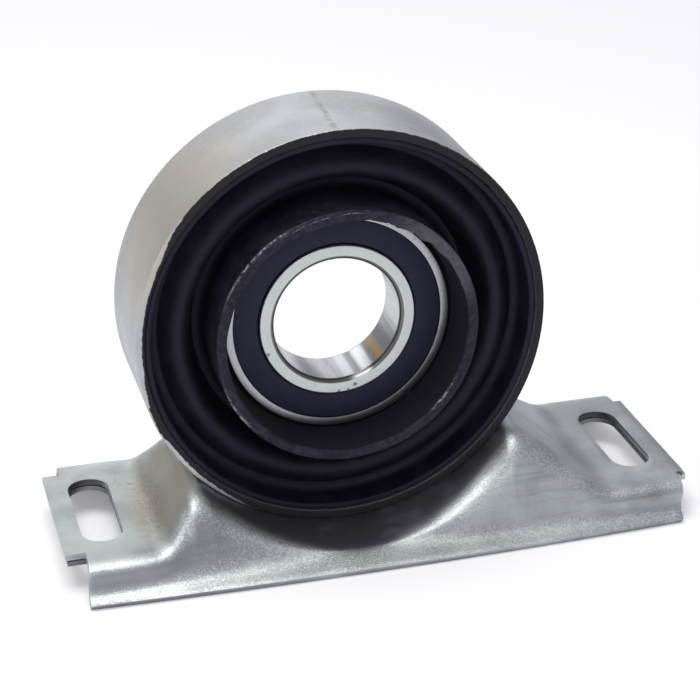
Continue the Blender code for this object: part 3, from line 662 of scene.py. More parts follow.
dressed = put(turning, "GeometryNodeSetMaterial", Geometry=solid, Material=given["Finish"]).outputs[0]
turning.links.new(dressed, result["Ring"])

shaft_frame = Matrix.Translation((RING_OFFSET_X, BEARING_FACE_Y, AXIS_HEIGHT)) @ Matrix.Rotation(-math.pi / 2, 4, "X")


def softened(loop, radius, steps=3, limit=0.45):
    """Round every corner of a closed loop of (radius, depth) points."""
    rounded = []
    for index, corner in enumerate(loop):
        before, after = loop[index - 1], loop[(index + 1) % len(loop)]
        legs = [(a[0] - corner[0], a[1] - corner[1]) for a in (before, after)]
        sizes = [math.hypot(*leg) for leg in legs]
        first, second = [math.atan2(leg[1], leg[0]) for leg in legs]
        if math.pi - abs(math.remainder(first - second, 2 * math.pi)) < NEARLY_STRAIGHT:
            rounded.append(corner)
            continue
        take = [min(radius, limit * size) / size for size in sizes]
        ends = [(corner[0] + leg[0] * t, corner[1] + leg[1] * t) for leg, t in zip(legs, take)]
        rounded += parabola(ends[0], corner, ends[1], steps)
    return rounded


def worked(piece, group, **values):
    """Run a geometry node tree on a piece and bake it. Its inputs are set by the identifiers of their sockets."""
    step = piece.modifiers.new(group.name, "NODES")
    step.node_group = group
    for socket in group.interface.items_tree:
        if socket.name in values:
            step[socket.identifier] = values[socket.name]
    settled(piece)


def turned(name, loop, facets, material):
    """Turn a loop of (radius, depth) points about the shaft axis and put the ring in its place."""
    profile = bpy.data.meshes.new(name)
    profile.from_pydata([(radius, 0.0, depth) for radius, depth in loop], [], [])
    ring = added(name, profile)
    worked(ring, turning, Facets=facets, Finish=material)
    coated(ring, material)
    ring.data.polygons.foreach_set("material_index", [0] * len(ring.data.polygons))
    ring.data.transform(shaft_frame)
    return ring


rolled, place = blank("rolled_band_steel")
skin = bare_metal(place, (0.62, 0.65, 0.65), (0.50, 0.52, 0.52), 20, 0.45, 1.1)
about = apply_effect(about_shaft, Vector=place)
warm = spot(place, (-45.0, -2.0, 83.0), 26, 0.9, 6, (1.0, 0.8, 0.8))
colour = over(skin["Color"], (0.64, 0.60, 0.50), warm, 0.75)
worn_pale = between(clouds(place, 1.3 * mm, 4.0, 0.7), 0.52, 0.70)
colour = over(colour, (0.72, 0.74, 0.73), worn_pale, 0.35)

from_front = sums("SUBTRACT", about["Depth"], BAND_FRONT)
seam_place = sums("MULTIPLY_ADD", from_front, -SEAM_SLANT, about["Across"])
seam_line = sums("MULTIPLY_ADD", clouds(place, 3 * mm, 3.0), SEAM_WANDER, seam_place)
seam_off = sums("ABSOLUTE", sums("ADD", seam_line, SEAM_SHIFT))
top_only = sums("GREATER_THAN", about["Up"], 0.0)
seam = product(between(seam_off, SEAM_EDGE, SEAM_CORE), top_only)
patchy = between(clouds(place, 2.2 * mm, 3.0, 0.65), 0.38, 0.58)
colour = over(colour, (0.30, 0.29, 0.23), seam, patchy, 0.55)
pits = put(place.id_data, "ShaderNodeTexVoronoi", Vector=place, Scale=PITS_PER_METRE).outputs["Distance"]
pitted = between(clouds(place, 5 * mm), 0.58, 0.70)
pit = product(between(pits, 0.10, 0.04), pitted)
colour = over(colour, (0.16, 0.13, 0.10), pit, 0.7)

bared_left = spot(place, (-54.5, -10.8, 60.0), 24, 0.5, 4, (1.0, 1.0, 0.8))
bared_low = spot(place, (-43.0, -10.8, 20.5), 19, 0.6, 3)
bared = sums("MAXIMUM", bared_left, product(bared_low, 0.7))
torn_line = sums("MULTIPLY_ADD", clouds(place, 1.4 * mm, 5.0, 0.7), FILM_WANDER, FILM_RADIUS)
film_edge = sums("MULTIPLY_ADD", bared, -FILM_LOSS, torn_line)
inside = between(sums("SUBTRACT", film_edge, about["Radius"]), -FILM_FADE, FILM_FADE)
film = product(inside, sums("LESS_THAN", about["Depth"], BAND_FRONT + FILM_DEPTH))
colour = over(colour, FILM_COLOUR, film, 0.97)
height = sums("MULTIPLY_ADD", seam, -0.7, sums("MULTIPLY_ADD", pit, -1.0, skin["Height"]))
bare = sums("SUBTRACT", 1.0, film)
finish(colour, within(skin["Gloss"], 0.42, 0.58), bare, height, 0.05 * mm, 0.15)

outer = BAND_DIAMETER / 2
inner = outer - BAND_WALL
loop = softened([(outer, BAND_END), (outer, -BAND_LEAD), (inner, -BAND_LEAD), (inner, BAND_END)], BAND_EDGE, steps=4)
band = turned("rolled_band", loop, BAND_FACETS, rolled)
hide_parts("housing_band")
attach(band, "mount")


# Rubber diaphragm: one moulding in black rubber. Its lining fills the band's bore, a waved web lets the shaft
# float, and its hub and long collar grip the sleeve. The collar's front is torn and scuffed where flash was cut.
COLLAR_DIAMETER = 61.4 * mm
COLLAR_WALL = 2.5 * mm
COLLAR_LEAD = 10.5 * mm
COLLAR_FRONT = BEARING_FACE_Y - COLLAR_LEAD
COLLAR_ROUND = 0.7 * mm
WEB_FILLET = 2.3 * mm
LINING_THICKNESS = 1.6 * mm
LINING_SETBACK = 0.4 * mm
WEB_THICKNESS = 3.2 * mm
VALLEY_DIAMETER = 83.8 * mm
VALLEY_DEPTH = 3.0 * mm
RIDGE_DIAMETER = 75.0 * mm
RIDGE_DEPTH = -1.0 * mm
WALL_DIAMETER = 71.2 * mm
TROUGH_DIAMETER = 66.0 * mm
TROUGH_DEPTH = 11.0 * mm
BONDED_GAP = 0.05 * mm
BEARING_DIAMETER = 55.0 * mm
BEARING_WIDTH = 13.0 * mm
SLEEVE_WALL = 1.5 * mm
SEAT_GAP = 0.3 * mm
SLEEVE_RADIUS = BEARING_DIAMETER / 2 + SEAT_GAP + SLEEVE_WALL
SLEEVE_END = BEARING_WIDTH + SEAT_GAP + SLEEVE_WALL


def flowing(keys, steps):
    """Points of a smooth curve through the key points, a Catmull-Rom spline."""
    points = []
    for index in range(len(keys) - 1):
        before = keys[max(index - 1, 0)]
        a, b = keys[index], keys[index + 1]
        after = keys[min(index + 2, len(keys) - 1)]
        for step in range(steps):
            t = step / steps
            points.append(tuple(0.5 * (2 * q + (r - p) * t + (2 * p - 5 * q + 4 * r - u) * t * t
                                       + (3 * q - p - 3 * r + u) * t ** 3)
                                for p, q, r, u in zip(before, a, b, after)))
    points.append(keys[-1])
    return points


def offset_line(line, distance):
    """The line moved sideways by a distance, to the left of its run."""
    moved = []
    for index, point in enumerate(line):
        before, after = line[max(index - 1, 0)], line[min(index + 1, len(line) - 1)]
        run = (after[0] - before[0], after[1] - before[1])
        length = math.hypot(*run)
        moved.append((point[0] - run[1] / length * distance, point[1] + run[0] / length * distance))
    return moved


lining = BAND_DIAMETER / 2 - BAND_WALL - LINING_THICKNESS
moulding_rim = BAND_DIAMETER / 2 - BAND_WALL - BONDED_GAP
collar = COLLAR_DIAMETER / 2
hub = SLEEVE_RADIUS + BONDED_GAP
front = LINING_SETBACK - BAND_LEAD
rear = BAND_END - LINING_SETBACK
web = flowing([(moulding_rim, VALLEY_DEPTH), (VALLEY_DIAMETER / 2, VALLEY_DEPTH), (RIDGE_DIAMETER / 2, RIDGE_DEPTH),
               (WALL_DIAMETER / 2, (RIDGE_DEPTH + TROUGH_DEPTH) / 2 - WEB_THICKNESS / 3),
               (TROUGH_DIAMETER / 2, TROUGH_DEPTH), (hub, TROUGH_DEPTH)], 10)
face, back = [[point for point in offset_line(web, side * WEB_THICKNESS / 2)
               if collar + WEB_FILLET < point[0] < lining - WEB_FILLET] for side in (1, -1)]


def filleted(start, wall_radius, towards):
    """A quarter round from the web's surface into a wall that runs along the axis."""
    return parabola(start, (wall_radius, start[1]), (wall_radius, start[1] + towards * WEB_FILLET), 8)


front_side = filleted(face[0], lining, -1)[::-1] + face[1:-1] + filleted(face[-1], collar, -1)
rear_side = filleted(back[-1], collar, 1)[::-1] + back[-2:0:-1] + filleted(back[0], lining, 1)
race_side = BEARING_DIAMETER / 2 + BONDED_GAP / 5
collar_corners = [(collar, 0.0), (collar, -COLLAR_LEAD), (collar - COLLAR_WALL, -COLLAR_LEAD),
                  (race_side, -2 * BONDED_GAP), (race_side, -BONDED_GAP), (race_side + BONDED_GAP, -BONDED_GAP),
                  (hub, -BONDED_GAP), (hub, SLEEVE_END), (collar, SLEEVE_END)]
loop = softened([(moulding_rim, rear), (moulding_rim, front), (lining, front)] + front_side + collar_corners
                + rear_side + [(lining, rear)], COLLAR_ROUND, steps=4)

RUBBER_SHEEN = (0.72, 0.72, 1.0)
RUBBER_FACETS = 420
SCUFF_WANDER = 0.8 * mm
TORN_FROM = math.radians(35.0)
TORN_TO = math.radians(85.0)
TORN_FADE = 0.15
TORN_LOSS = 0.3 * mm
LIP_DEPTH = 1.2 * mm
LIP_MARGIN = 0.4 * mm
LIP_WOBBLE = 0.35 * mm
LIP_TEAR = 0.45 * mm
LIP_WAVE = 0.22 * mm
NUB_TURN = math.radians(-50.5)
NUB_WIDTH = 0.9 * mm
NUB_HEIGHT = 1.6 * mm
CUT_MARGIN = 0.15 * mm
black_rubber, place = blank("black_moulded_rubber")
about = apply_effect(about_shaft, Vector=place)
bloom = between(clouds(place, 7 * mm, 5.0, 0.6), 0.35, 0.7)
colour = tint(bloom, (0.0055, 0.0048, 0.0098), (0.0110, 0.0102, 0.0185))

# Scuffed ring: a thin torn line round the shaft at one radius, within reach of a point.
scuffed_ring, given, result = effect("scuffed_ring", [
    ("Vector", "Vector", None), ("Radius", "Float", 0.0), ("Ring", "Float", 30 * mm), ("Width", "Float", 0.3 * mm),
    ("Centre", "Vector", (0.0, 0.0, 0.0)), ("Reach", "Float", 10 * mm)], [("Mask", "Float")])
strayed = sums("MULTIPLY_ADD", clouds(given["Vector"], 3 * mm, 4.0), SCUFF_WANDER, given["Radius"])
middle_line = sums("ADD", given["Ring"], SCUFF_WANDER / 2)
aside = sums("ABSOLUTE", sums("SUBTRACT", strayed, middle_line))
thin = put(scuffed_ring, "ShaderNodeMapRange", Value=aside, From_Min=given["Width"], From_Max=0.0).outputs[0]
local_share = apply_effect(patch, Vector=given["Vector"], Centre=given["Centre"], Reach=given["Reach"],
                           Ragged=0.8, Break_Size=2 * mm)[0]
gappy = between(clouds(given["Vector"], 1.2 * mm, 3.0, 0.7), 0.40, 0.56)
scuffed_ring.links.new(product(thin, local_share, gappy), result["Mask"])

crumbs = between(clouds(place, 0.30 * mm, 3.0, 0.7), 0.68, 0.76)
front_end = between(about["Depth"], COLLAR_FRONT + 1.1 * mm, COLLAR_FRONT + 0.5 * mm)
worn = product(crumbs, 0.22)
for ring, width, centre, spread in ((30.6, 0.30, (-30.0, -15.0, 73.5), 15), (30.0, 0.16, (-12.0, -15.0, 81.5), 13),
                                    (30.5, 0.60, (-33.0, -15.0, 37.0), 8), (28.5, 0.35, (15.5, -15.0, 35.0), 6),
                                    (28.3, 0.25, (19.5, -15.0, 64.0), 6)):
    torn = apply_effect(scuffed_ring, Vector=place, Radius=about["Radius"], Ring=ring * mm, Width=width * mm,
                        Centre=tuple(v * mm for v in centre), Reach=spread * mm)[0]
    worn = sums("MAXIMUM", worn, torn)
colour = over(colour, (0.36, 0.35, 0.38), worn, front_end)
dusty = between(clouds(place, 1.6 * mm, 5.0, 0.7), 0.46, 0.60)
colour = over(colour, (0.032, 0.030, 0.038), front_end, dusty, 0.75)
rubbed_shade = tint(clouds(place, 1.0 * mm, 4.0, 0.7), (0.030, 0.028, 0.034), (0.170, 0.165, 0.180))
rubbed_right = spot(place, (14.0, -15.0, 70.0), 17, 0.9, 1.6)
colour = over(colour, rubbed_shade, front_end, rubbed_right, 0.85)
smoked = between(clouds(place, 2.4 * mm, 5.0, 0.7), 0.50, 0.68)
outside = between(about["Radius"], collar + 0.7 * mm, collar + 0.2 * mm)
forward = between(about["Depth"], 0.0, -8 * mm)
colour = over(colour, (0.024, 0.023, 0.036), outside, forward, smoked, 0.6)
pimple = clouds(place, 0.6 * mm, 3.0, 0.6)
sag = clouds(place, 5 * mm, 3.0)
height = sums("MULTIPLY_ADD", sag, 2.0, pimple)
rough = sums("MULTIPLY_ADD", bloom, 0.12, 0.54)
finish(colour, rough, 0.0, height, 0.06 * mm, 0.42, RUBBER_SHEEN)

cut_rubber, place = blank("dull_cut_rubber")
smudge = clouds(place, 3 * mm, 5.0, 0.6)
colour = tint(smudge, (0.0120, 0.0105, 0.0165), (0.0220, 0.0195, 0.0290))
grain = clouds(place, 0.5 * mm, 3.0, 0.6)
finish(colour, within(smudge, 0.70, 0.85), 0.0, grain, 0.05 * mm, 0.10)

moulding = turned("rubber_moulding", loop, RUBBER_FACETS, black_rubber)
moulding.data.materials.append(cut_rubber)
to_shaft = shaft_frame.inverted()
for face_of_ring in moulding.data.polygons:
    middle = to_shaft @ face_of_ring.center
    in_mouth = math.hypot(middle.x, middle.y) < collar - COLLAR_WALL + CUT_MARGIN
    if in_mouth and -COLLAR_LEAD + LIP_MARGIN < middle.z < 0.0:
        face_of_ring.material_index = 1
for vertex in moulding.data.vertices:
    local = to_shaft @ vertex.co
    out = math.hypot(local.x, local.y)
    at = Vector((local.x, local.y, 0.0)) / out
    turn = math.atan2(-local.y, local.x)
    if local.z < -COLLAR_LEAD + LIP_DEPTH and out < collar + BONDED_GAP:
        inner_share = min(1.0, max(0.0, (collar - LIP_MARGIN - out) / (COLLAR_WALL - 2 * LIP_MARGIN)))
        torn_share = max(0.0, min(1.0, (turn - TORN_FROM) / TORN_FADE, (TORN_TO - turn) / TORN_FADE))
        wobble = noise.fractal(at * 2.2, 0.9, 2.0, 3) * LIP_WOBBLE
        tear = noise.fractal(at * 9.0, 0.8, 2.0, 4) * LIP_TEAR * torn_share
        local -= at * inner_share * (wobble + tear + TORN_LOSS * torn_share)
        local.z += noise.fractal(at * 3.1 + Vector((4.0, 0.0, 0.0)), 0.9, 2.0, 3) * LIP_WAVE
    elif out < BEARING_DIAMETER / 2 + 2 * SEAT_GAP and local.z < 0.0:
        away = (turn - NUB_TURN) * out / NUB_WIDTH
        local -= at * NUB_HEIGHT * math.exp(-away * away)
    vertex.co = shaft_frame @ local
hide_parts("rubber_lining", "rubber_web", "rubber_collar")
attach(moulding, "mount")


# Inner sleeve: the plain steel shell that the rubber is bonded to and the bearing is pressed into, with a stop
# turned in behind the bearing. Only the stop shows, from the rear.
SLEEVE_STOP_BORE = 51.6 * mm
SLEEVE_EDGE = 0.3 * mm
SLEEVE_FACETS = 192
shell_steel, place = blank("plain_sleeve_steel")
skin = bare_metal(place, (0.42, 0.42, 0.43), (0.28, 0.28, 0.29), 6, 0.5, 0.8)
about = apply_effect(about_shaft, Vector=place)
# Painted shade: the front of the sleeve, which shows in the groove between the outer race and the rubber, is painted
# near black and matt; further back it is plain steel.
steel_beyond_painted_shade = between(about["Depth"], BEARING_FACE_Y + 1.5 * mm, BEARING_FACE_Y + 3.0 * mm)
colour = tint(steel_beyond_painted_shade, (0.006, 0.005, 0.008), skin["Color"])
finish(colour, sums("MULTIPLY_ADD", steel_beyond_painted_shade, -0.35, 0.85), steel_beyond_painted_shade, skin["Height"], 0.04 * mm)
bore = BEARING_DIAMETER / 2 + BONDED_GAP
loop = softened([(SLEEVE_RADIUS, SLEEVE_END), (SLEEVE_RADIUS, 0.0), (bore, 0.0), (bore, BEARING_WIDTH + SEAT_GAP),
                 (SLEEVE_STOP_BORE / 2, BEARING_WIDTH + SEAT_GAP), (SLEEVE_STOP_BORE / 2, SLEEVE_END)], SLEEVE_EDGE)
sleeve = turned("bearing_sleeve", loop, SLEEVE_FACETS, shell_steel)
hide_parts("inner_sleeve")
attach(sleeve, "mount")


# Bearing races: two rings of hardened steel with ground faces. The outer one shows as a thin bright ring round
# the seal, and the inner one as a satin face round a honed bore with a chamfer each side.
BORE_DIAMETER = 30.0 * mm
RACE_CORNER = 1.0 * mm
BORE_CHAMFER = 1.0 * mm
INNER_LAND_DIAMETER = 37.2 * mm
INNER_SHOULDER_DIAMETER = 38.4 * mm
OUTER_SHOULDER_DIAMETER = 46.8 * mm
LAND_WIDTH = 1.9 * mm
LAND_EDGE = 0.3 * mm
BALL_DIAMETER = 7.144 * mm
BALL_PITCH_DIAMETER = 42.5 * mm
BALL_GAP = 0.05 * mm
GROOVE_RADIUS = 0.52 * BALL_DIAMETER
SEAL_MOUTH_DIAMETER = 49.5 * mm
SEAL_GROOVE_DIAMETER = 50.7 * mm
SEAL_RECESS = 0.3 * mm
SEAL_WIDTH = 1.4 * mm
SEAL_BEAD_WIDTH = 0.8 * mm
MID_WIDTH = BEARING_WIDTH / 2
RACE_EDGE = 0.12 * mm
CORNER_SHADE_FROM = 26.35 * mm
CORNER_SHADE_FULL = 26.60 * mm
RACE_FACETS = 256
BALL_RADIUS = BALL_DIAMETER / 2
PITCH_RADIUS = BALL_PITCH_DIAMETER / 2


def arc(centre, radius, start, end, steps):
    """Points along a circular arc in the (radius, depth) plane; angles in degrees."""
    turns = [math.radians(start + (end - start) * step / steps) for step in range(steps + 1)]
    return [(centre[0] + radius * math.cos(a), centre[1] + radius * math.sin(a)) for a in turns]


def mirrored_width(points):
    """The points mirrored about the bearing's mid-width, in reverse order."""
    return [(radius, BEARING_WIDTH - depth) for radius, depth in reversed(points)]


def ground_lines(about, closeness):
    """The fine rings that grinding leaves round the shaft."""
    near, back = product(about["Radius"], closeness), product(about["Depth"], closeness)
    rings = put(near.id_data, "ShaderNodeCombineXYZ", X=near, Y=back)
    return clouds(rings.outputs[0], 0.6 * mm, 4.0, 0.7)


ground_steel, place = blank("ground_race_steel")
about = apply_effect(about_shaft, Vector=place)
lines = ground_lines(about, 6.0)
haze = clouds(place, 3 * mm, 4.0)
colour = tint(haze, (0.42, 0.43, 0.45), (0.58, 0.58, 0.61))
# A broad darker patch over the lower right of the race.
darker_patch = spot(place, (4.0, -4.5, 30.0), 30, 0.6, 4, (1.0, 0.3, 1.0))
colour = over(colour, (0.16, 0.16, 0.18), darker_patch, 0.75)
smear = between(clouds(place, 1.5 * mm, 5.0, 0.7), 0.54, 0.66)
colour = over(colour, (0.14, 0.14, 0.15), smear, 0.45)
# Painted shade: the race's outer rounded corner, in the dark groove beside the rubber, is painted near black and matt.
painted_corner_shade = between(about["Radius"], CORNER_SHADE_FROM, CORNER_SHADE_FULL)
colour = over(colour, (0.012, 0.010, 0.015), painted_corner_shade)
rough = within(sums("MAXIMUM", lines, painted_corner_shade), 0.20, 0.45)
finish(colour, rough, sums("SUBTRACT", 1.0, painted_corner_shade), lines, 0.006 * mm)

rim = [(BEARING_DIAMETER / 2 - RACE_CORNER, BEARING_WIDTH), (BEARING_DIAMETER / 2, BEARING_WIDTH - RACE_CORNER),
       (BEARING_DIAMETER / 2, RACE_CORNER), (BEARING_DIAMETER / 2 - RACE_CORNER, 0.0)]
mouth = SEAL_MOUTH_DIAMETER / 2
groove = SEAL_GROOVE_DIAMETER / 2
wall_front = SEAL_RECESS + SEAL_WIDTH - SEAL_BEAD_WIDTH - SEAT_GAP
wall_rear = SEAL_RECESS + SEAL_WIDTH + SEAT_GAP
steps_in = [(mouth, 0.0), (mouth, wall_front), (groove, wall_front), (groove, wall_rear),
            (OUTER_SHOULDER_DIAMETER / 2, wall_rear)]
centre = PITCH_RADIUS + BALL_RADIUS + BALL_GAP - GROOVE_RADIUS
open_angle = math.degrees(math.acos((OUTER_SHOULDER_DIAMETER / 2 - centre) / GROOVE_RADIUS))
track = arc((centre, MID_WIDTH), GROOVE_RADIUS, -open_angle, open_angle, 24)
loop = softened(rim + steps_in + track + mirrored_width(steps_in), RACE_EDGE)
outer_ring = turned("outer_ring", loop, RACE_FACETS, ground_steel)
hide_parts("outer_race")
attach(outer_ring, "mount")

honed_steel, place = blank("honed_inner_steel")
about = apply_effect(about_shaft, Vector=place)
from_middle = sums("ABSOLUTE", sums("SUBTRACT", about["Depth"], BEARING_FACE_Y + MID_WIDTH))
bore_end = MID_WIDTH - BORE_CHAMFER
bore_mouth = BORE_DIAMETER / 2 + BORE_CHAMFER
at_edge = between(from_middle, bore_end - 0.05 * mm, bore_end + 0.10 * mm)
near_bore = between(about["Radius"], bore_mouth + 0.02 * mm, bore_mouth - 0.15 * mm)
at_corner = product(near_bore, at_edge)
in_bore = sums("SUBTRACT", near_bore, at_corner)
lines = ground_lines(about, 5.0)
haze = clouds(place, 2.5 * mm, 4.0)
streaks = clouds(vectors("MULTIPLY", place, (1.0, 0.04, 1.0)), 0.8 * mm, 4.0, 0.7)
colour = tint(haze, (0.56, 0.60, 0.59), (0.68, 0.72, 0.70))
for pit_x, pit_z, pit_size in ((-6.8, 34.05, 0.55), (-2.9, 35.35, 0.7), (-23.5, 45.5, 0.6), (-4.6, 34.3, 0.35)):
    pitted = spot(place, (pit_x, BEARING_FACE_Y / mm, pit_z), pit_size, 2.4, 0.5)
    colour = over(colour, (0.10, 0.10, 0.09), pitted, 0.8)
colour = over(colour, (0.44, 0.46, 0.46), in_bore, 0.85)
# The fine darker streaks along the axis are painted reflection too; they also vary the roughness.
colour = over(colour, (0.32, 0.33, 0.34), in_bore, between(streaks, 0.45, 0.70))
# Painted reflections: light, dark and gold stripes along the bore, each at its own turn round it, stand for the room
# reflected in the honed steel.
for degrees, breadth, share, shade in ((-132, 4.0, 0.7, (0.86, 0.88, 0.88)), (-106, 2.6, 0.5, (0.50, 0.51, 0.54)),
                                       (-78, 2.0, 0.8, (0.76, 0.79, 0.82)), (-70, 1.5, 0.6, (0.26, 0.26, 0.27)),
                                       (-61, 2.2, 0.9, (0.93, 0.95, 0.92)), (-51, 1.6, 0.6, (0.26, 0.26, 0.24)),
                                       (-45, 1.3, 0.9, (0.64, 0.43, 0.17)), (-35, 2.4, 0.6, (0.30, 0.30, 0.32)),
                                       (0, 6.0, 0.6, (0.74, 0.79, 0.76))):
    beside = RING_OFFSET_X + BORE_DIAMETER / 2 * math.cos(math.radians(degrees))
    level_with = AXIS_HEIGHT + BORE_DIAMETER / 2 * math.sin(math.radians(degrees))
    painted_reflection_stripe = spot(place, (beside / mm, 2.0, level_with / mm), breadth, 0.2, 0.8, (1.0, 0.05, 1.0))
    colour = over(colour, shade, painted_reflection_stripe, in_bore, share)
# Painted light on the bore's rounded corner: a dark painted reflection all round, with one bright painted highlight.
painted_chamfer_highlight = spot(place, (-1.1, -4.2, 37.8), 3.4, 0.5, 1.0)
painted_chamfer_shade_and_highlight = tint(painted_chamfer_highlight, (0.13, 0.13, 0.11), (0.90, 0.92, 0.90))
colour = over(colour, painted_chamfer_shade_and_highlight, at_corner, 0.9)
dull, slick = within(lines, 0.22, 0.36), within(streaks, 0.22, 0.34)
rough = put(place.id_data, "ShaderNodeMix", i0=in_bore, i2=dull, i3=slick).outputs[0]
finish(colour, rough, 1.0, lines, 0.006 * mm)

land = INNER_LAND_DIAMETER / 2
steps_out = [(land - LAND_EDGE, 0.0), (land, LAND_EDGE), (land, LAND_WIDTH),
             (INNER_SHOULDER_DIAMETER / 2, LAND_WIDTH + LAND_EDGE)]
centre = PITCH_RADIUS - BALL_RADIUS - BALL_GAP + GROOVE_RADIUS
open_angle = math.degrees(math.acos((centre - INNER_SHOULDER_DIAMETER / 2) / GROOVE_RADIUS))
track = arc((centre, MID_WIDTH), GROOVE_RADIUS, 180 - open_angle, 180 + open_angle, 24)
bore = BORE_DIAMETER / 2
bore_side = arc((bore + BORE_CHAMFER, BORE_CHAMFER), BORE_CHAMFER, 270, 180, 6)
loop = softened(mirrored_width(steps_out[::-1]) + track + steps_out[::-1] + bore_side + mirrored_width(bore_side),
                RACE_EDGE)
inner_ring = turned("inner_ring", loop, RACE_FACETS, honed_steel)
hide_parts("inner_race")
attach(inner_ring, "shaft_ring")


# Balls: eleven balls of hardened steel, lapped to a mirror, each rolling in the grooves of both races. They lie
# hidden behind the seals.
BALL_COUNT = 11
lapped_steel, place = blank("lapped_ball_steel")
smear = clouds(place, 1.5 * mm, 4.0)
colour = tint(smear, (0.74, 0.75, 0.76), (0.84, 0.85, 0.86))
finish(colour, within(smear, 0.05, 0.14), 1.0)
for index in range(BALL_COUNT):
    angle = 2 * math.pi * index / BALL_COUNT
    middle = shaft_frame @ Vector((PITCH_RADIUS * math.cos(angle), PITCH_RADIUS * math.sin(angle), MID_WIDTH))
    work = bmesh.new()
    bmesh.ops.create_uvsphere(work, u_segments=40, v_segments=20, radius=BALL_RADIUS,
                              matrix=Matrix.Translation(middle) @ Matrix.Rotation(-math.pi / 2, 4, "X"))
    name = f"lapped_ball_{index + 1:02d}"
    ball = added(name, meshed(name, work))
    ball.data.shade_smooth()
    coated(ball, lapped_steel)
    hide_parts(f"ball_{index + 1:02d}")
    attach(ball, f"ball_{index + 1:02d}")


# Cage: two ribbons of thin steel pressed round the balls and riveted together in the flats between them. It
# keeps the balls apart and travels round with them.
CAGE_SHEET = 0.5 * mm
CAGE_RIBBON_WIDTH = 2.6 * mm
POCKET_GAP = 0.25 * mm
CAGE_FLAT_GAP = 0.02 * mm
RIVET_HEAD = 0.95 * mm
RIVET_SHANK = 0.5 * mm
RIVET_DOME = 0.45 * mm
RIVET_SIDES = 16
POCKET_STEPS = 24
RIBBON_LANES = 8
pressed_steel, place = blank("pressed_cage_steel")
skin = bare_metal(place, (0.66, 0.64, 0.61), (0.50, 0.49, 0.47), 3, 0.2, 0.6)
finish(skin["Color"], 0.34, 1.0, skin["Height"], 0.02 * mm)
pocket = BALL_RADIUS + POCKET_GAP
for name, node_name, side in (("cage_ribbon_front", "cage_front", -1), ("cage_ribbon_rear", "cage_rear", 1)):
    rows = []
    for index in range(BALL_COUNT):
        for step in range(POCKET_STEPS + 1):
            along = pocket * math.sin(math.pi * (step / POCKET_STEPS - 0.5))
            angle = 2 * math.pi * index / BALL_COUNT + along / PITCH_RADIUS
            row = []
            for lane in range(RIBBON_LANES + 1):
                offset = CAGE_RIBBON_WIDTH * (lane / RIBBON_LANES - 0.5)
                lift = math.sqrt(max(pocket ** 2 - along ** 2 - offset ** 2, CAGE_FLAT_GAP ** 2))
                reach = PITCH_RADIUS + offset
                point = Vector((reach * math.cos(angle), reach * math.sin(angle), MID_WIDTH + side * lift))
                row.append(shaft_frame @ point)
            rows.append(row if side > 0 else row[::-1])
    ribbon = lofted(name, rows, closed=True)
    wall = ribbon.modifiers.new("wall", "SOLIDIFY")
    wall.thickness = CAGE_SHEET
    wall.offset = 1.0
    wall.use_even_offset = True
    settled(ribbon)
    coated(ribbon, pressed_steel)
    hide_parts(node_name)
    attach(ribbon, "cage")

riveting, given, result = effect("rivets_round_a_circle", [
    ("Rivet", "Geometry", None), ("Count", "Int", None), ("Pitch", "Float", None), ("Finish", "Material", None)],
    [("Rivets", "Geometry")], "GeometryNodeTree")
circle = put(riveting, "GeometryNodeMeshCircle", Vertices=given["Count"], Radius=given["Pitch"]).outputs[0]
dotted = put(riveting, "GeometryNodeInstanceOnPoints", Points=circle, Instance=given["Rivet"]).outputs[0]
solid = put(riveting, "GeometryNodeRealizeInstances", Geometry=dotted).outputs[0]
dressed = put(riveting, "GeometryNodeSetMaterial", Geometry=solid, Material=given["Finish"]).outputs[0]
riveting.links.new(dressed, result["Rivets"])

grip = CAGE_FLAT_GAP + CAGE_SHEET
rivet_side = [(RIVET_HEAD * math.cos(math.radians(a)), grip + RIVET_DOME * math.sin(math.radians(a)))
              for a in range(0, 91, 15)]
rivet_outline = rivet_side[-2::-1] + [(RIVET_SHANK, grip), (RIVET_SHANK, -grip)] + [(r, -z) for r, z in rivet_side[:-1]]
turns = [2 * math.pi * side / RIVET_SIDES for side in range(RIVET_SIDES)]
work = bmesh.new()
bands = [[work.verts.new((radius * math.cos(a), radius * math.sin(a), height)) for a in turns]
         for radius, height in rivet_outline]
for upper, lower in zip(bands, bands[1:]):
    for k in range(RIVET_SIDES):
        after = (k + 1) % RIVET_SIDES
        work.faces.new((upper[k], lower[k], lower[after], upper[after]))
work.faces.new(bands[0])
work.faces.new(bands[-1][::-1])
bmesh.ops.recalc_face_normals(work, faces=work.faces)
rivets = added("cage_rivets", meshed("cage_rivets", work))
worked(rivets, riveting, Count=BALL_COUNT, Pitch=PITCH_RADIUS, Finish=pressed_steel)
between_balls = Matrix.Translation((0, 0, MID_WIDTH)) @ Matrix.Rotation(math.pi / BALL_COUNT, 4, "Z")
rivets.data.transform(shaft_frame @ between_balls)
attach(rivets, "cage")


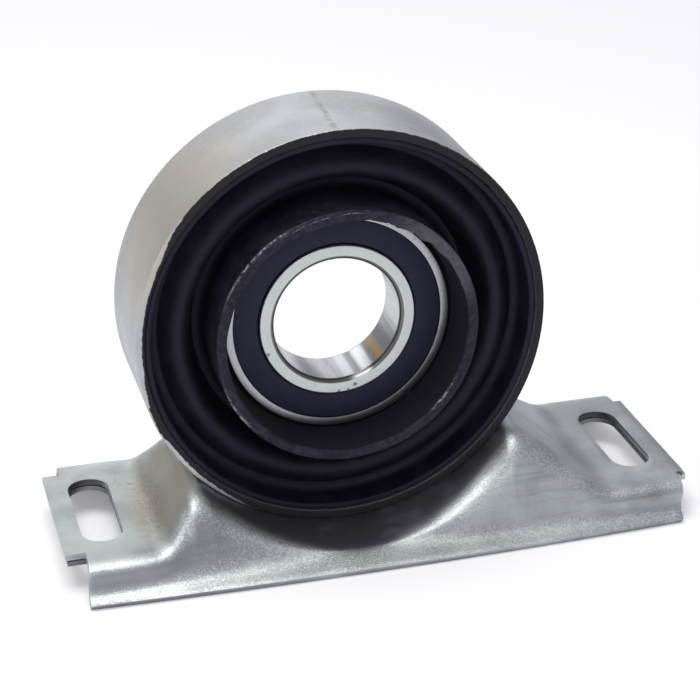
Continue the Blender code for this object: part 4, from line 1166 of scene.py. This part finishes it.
# Seals: a blue-grey rubber ring each side, snapped into the outer race and running lightly on the inner one,
# stiffened by a steel washer in its back.
SEAL_LIP_GAP = 0.15 * mm
SEAL_LIP_FLARE = 0.45 * mm
SEAL_LIP_DEPTH = 0.3 * mm
SEAL_SKIN = 0.6 * mm
SEAL_INSERT_SHEET = 0.4 * mm
SEAL_INSERT_BORE = 40.4 * mm
SEAL_INSERT_DIAMETER = 47.6 * mm
SEAL_FACETS = 220
seal_rubber, place = blank("blue_grey_seal_rubber")
mottle = clouds(place, 4 * mm, 5.0, 0.6)
colour = tint(mottle, (0.0090, 0.0105, 0.0205), (0.0210, 0.0240, 0.0460))
dust = between(clouds(place, 0.3 * mm, 2.0, 0.6), 0.66, 0.74)
colour = over(colour, (0.25, 0.25, 0.26), dust, 0.25)
grain = clouds(place, 0.25 * mm, 3.0, 0.6)
finish(colour, 0.5, 0.0, grain, 0.02 * mm, 0.35, RUBBER_SHEEN)

washer_steel, place = blank("seal_washer_steel")
skin = bare_metal(place, (0.56, 0.56, 0.56), (0.44, 0.44, 0.44), 5, 0.3, 0.5)
finish(skin["Color"], 0.4, 1.0, skin["Height"], 0.02 * mm)

lip = INNER_LAND_DIAMETER / 2 + SEAL_LIP_GAP
rim_edge = SEAL_MOUTH_DIAMETER / 2 - SEAT_GAP / 2
bead = SEAL_GROOVE_DIAMETER / 2 - SEAT_GAP / 2
seal_back = SEAL_RECESS + SEAL_WIDTH
bead_front = seal_back - SEAL_BEAD_WIDTH
pocket_floor = SEAL_RECESS + SEAL_SKIN
washer_bore = SEAL_INSERT_BORE / 2
washer_rim = SEAL_INSERT_DIAMETER / 2
front_loop = [(bead, seal_back), (bead, bead_front), (rim_edge, bead_front), (rim_edge, SEAL_RECESS),
              (lip + SEAL_LIP_FLARE, SEAL_RECESS), (lip, SEAL_RECESS + SEAL_LIP_DEPTH), (lip, seal_back),
              (washer_bore - SEAT_GAP, seal_back), (washer_bore - SEAT_GAP, pocket_floor),
              (washer_rim + SEAT_GAP, pocket_floor), (washer_rim + SEAT_GAP, seal_back)]
near = pocket_floor + SEAT_GAP
far = near + SEAL_INSERT_SHEET
washer_loop = [(washer_rim, far), (washer_rim, near), (washer_bore, near), (washer_bore, far)]
for name, loop, node_name, material, slot in (
        ("lip_seal_front", front_loop, "front_seal", seal_rubber, "seal_rubber"),
        ("seal_washer_front", washer_loop, "front_seal_insert", washer_steel, "insert_steel"),
        ("lip_seal_rear", mirrored_width(front_loop), "rear_seal", seal_rubber, "seal_rubber"),
        ("seal_washer_rear", mirrored_width(washer_loop), "rear_seal_insert", washer_steel, "insert_steel")):
    piece = turned(name, softened(loop, RACE_EDGE), SEAL_FACETS, material)
    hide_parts(node_name)
    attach(piece, "mount")
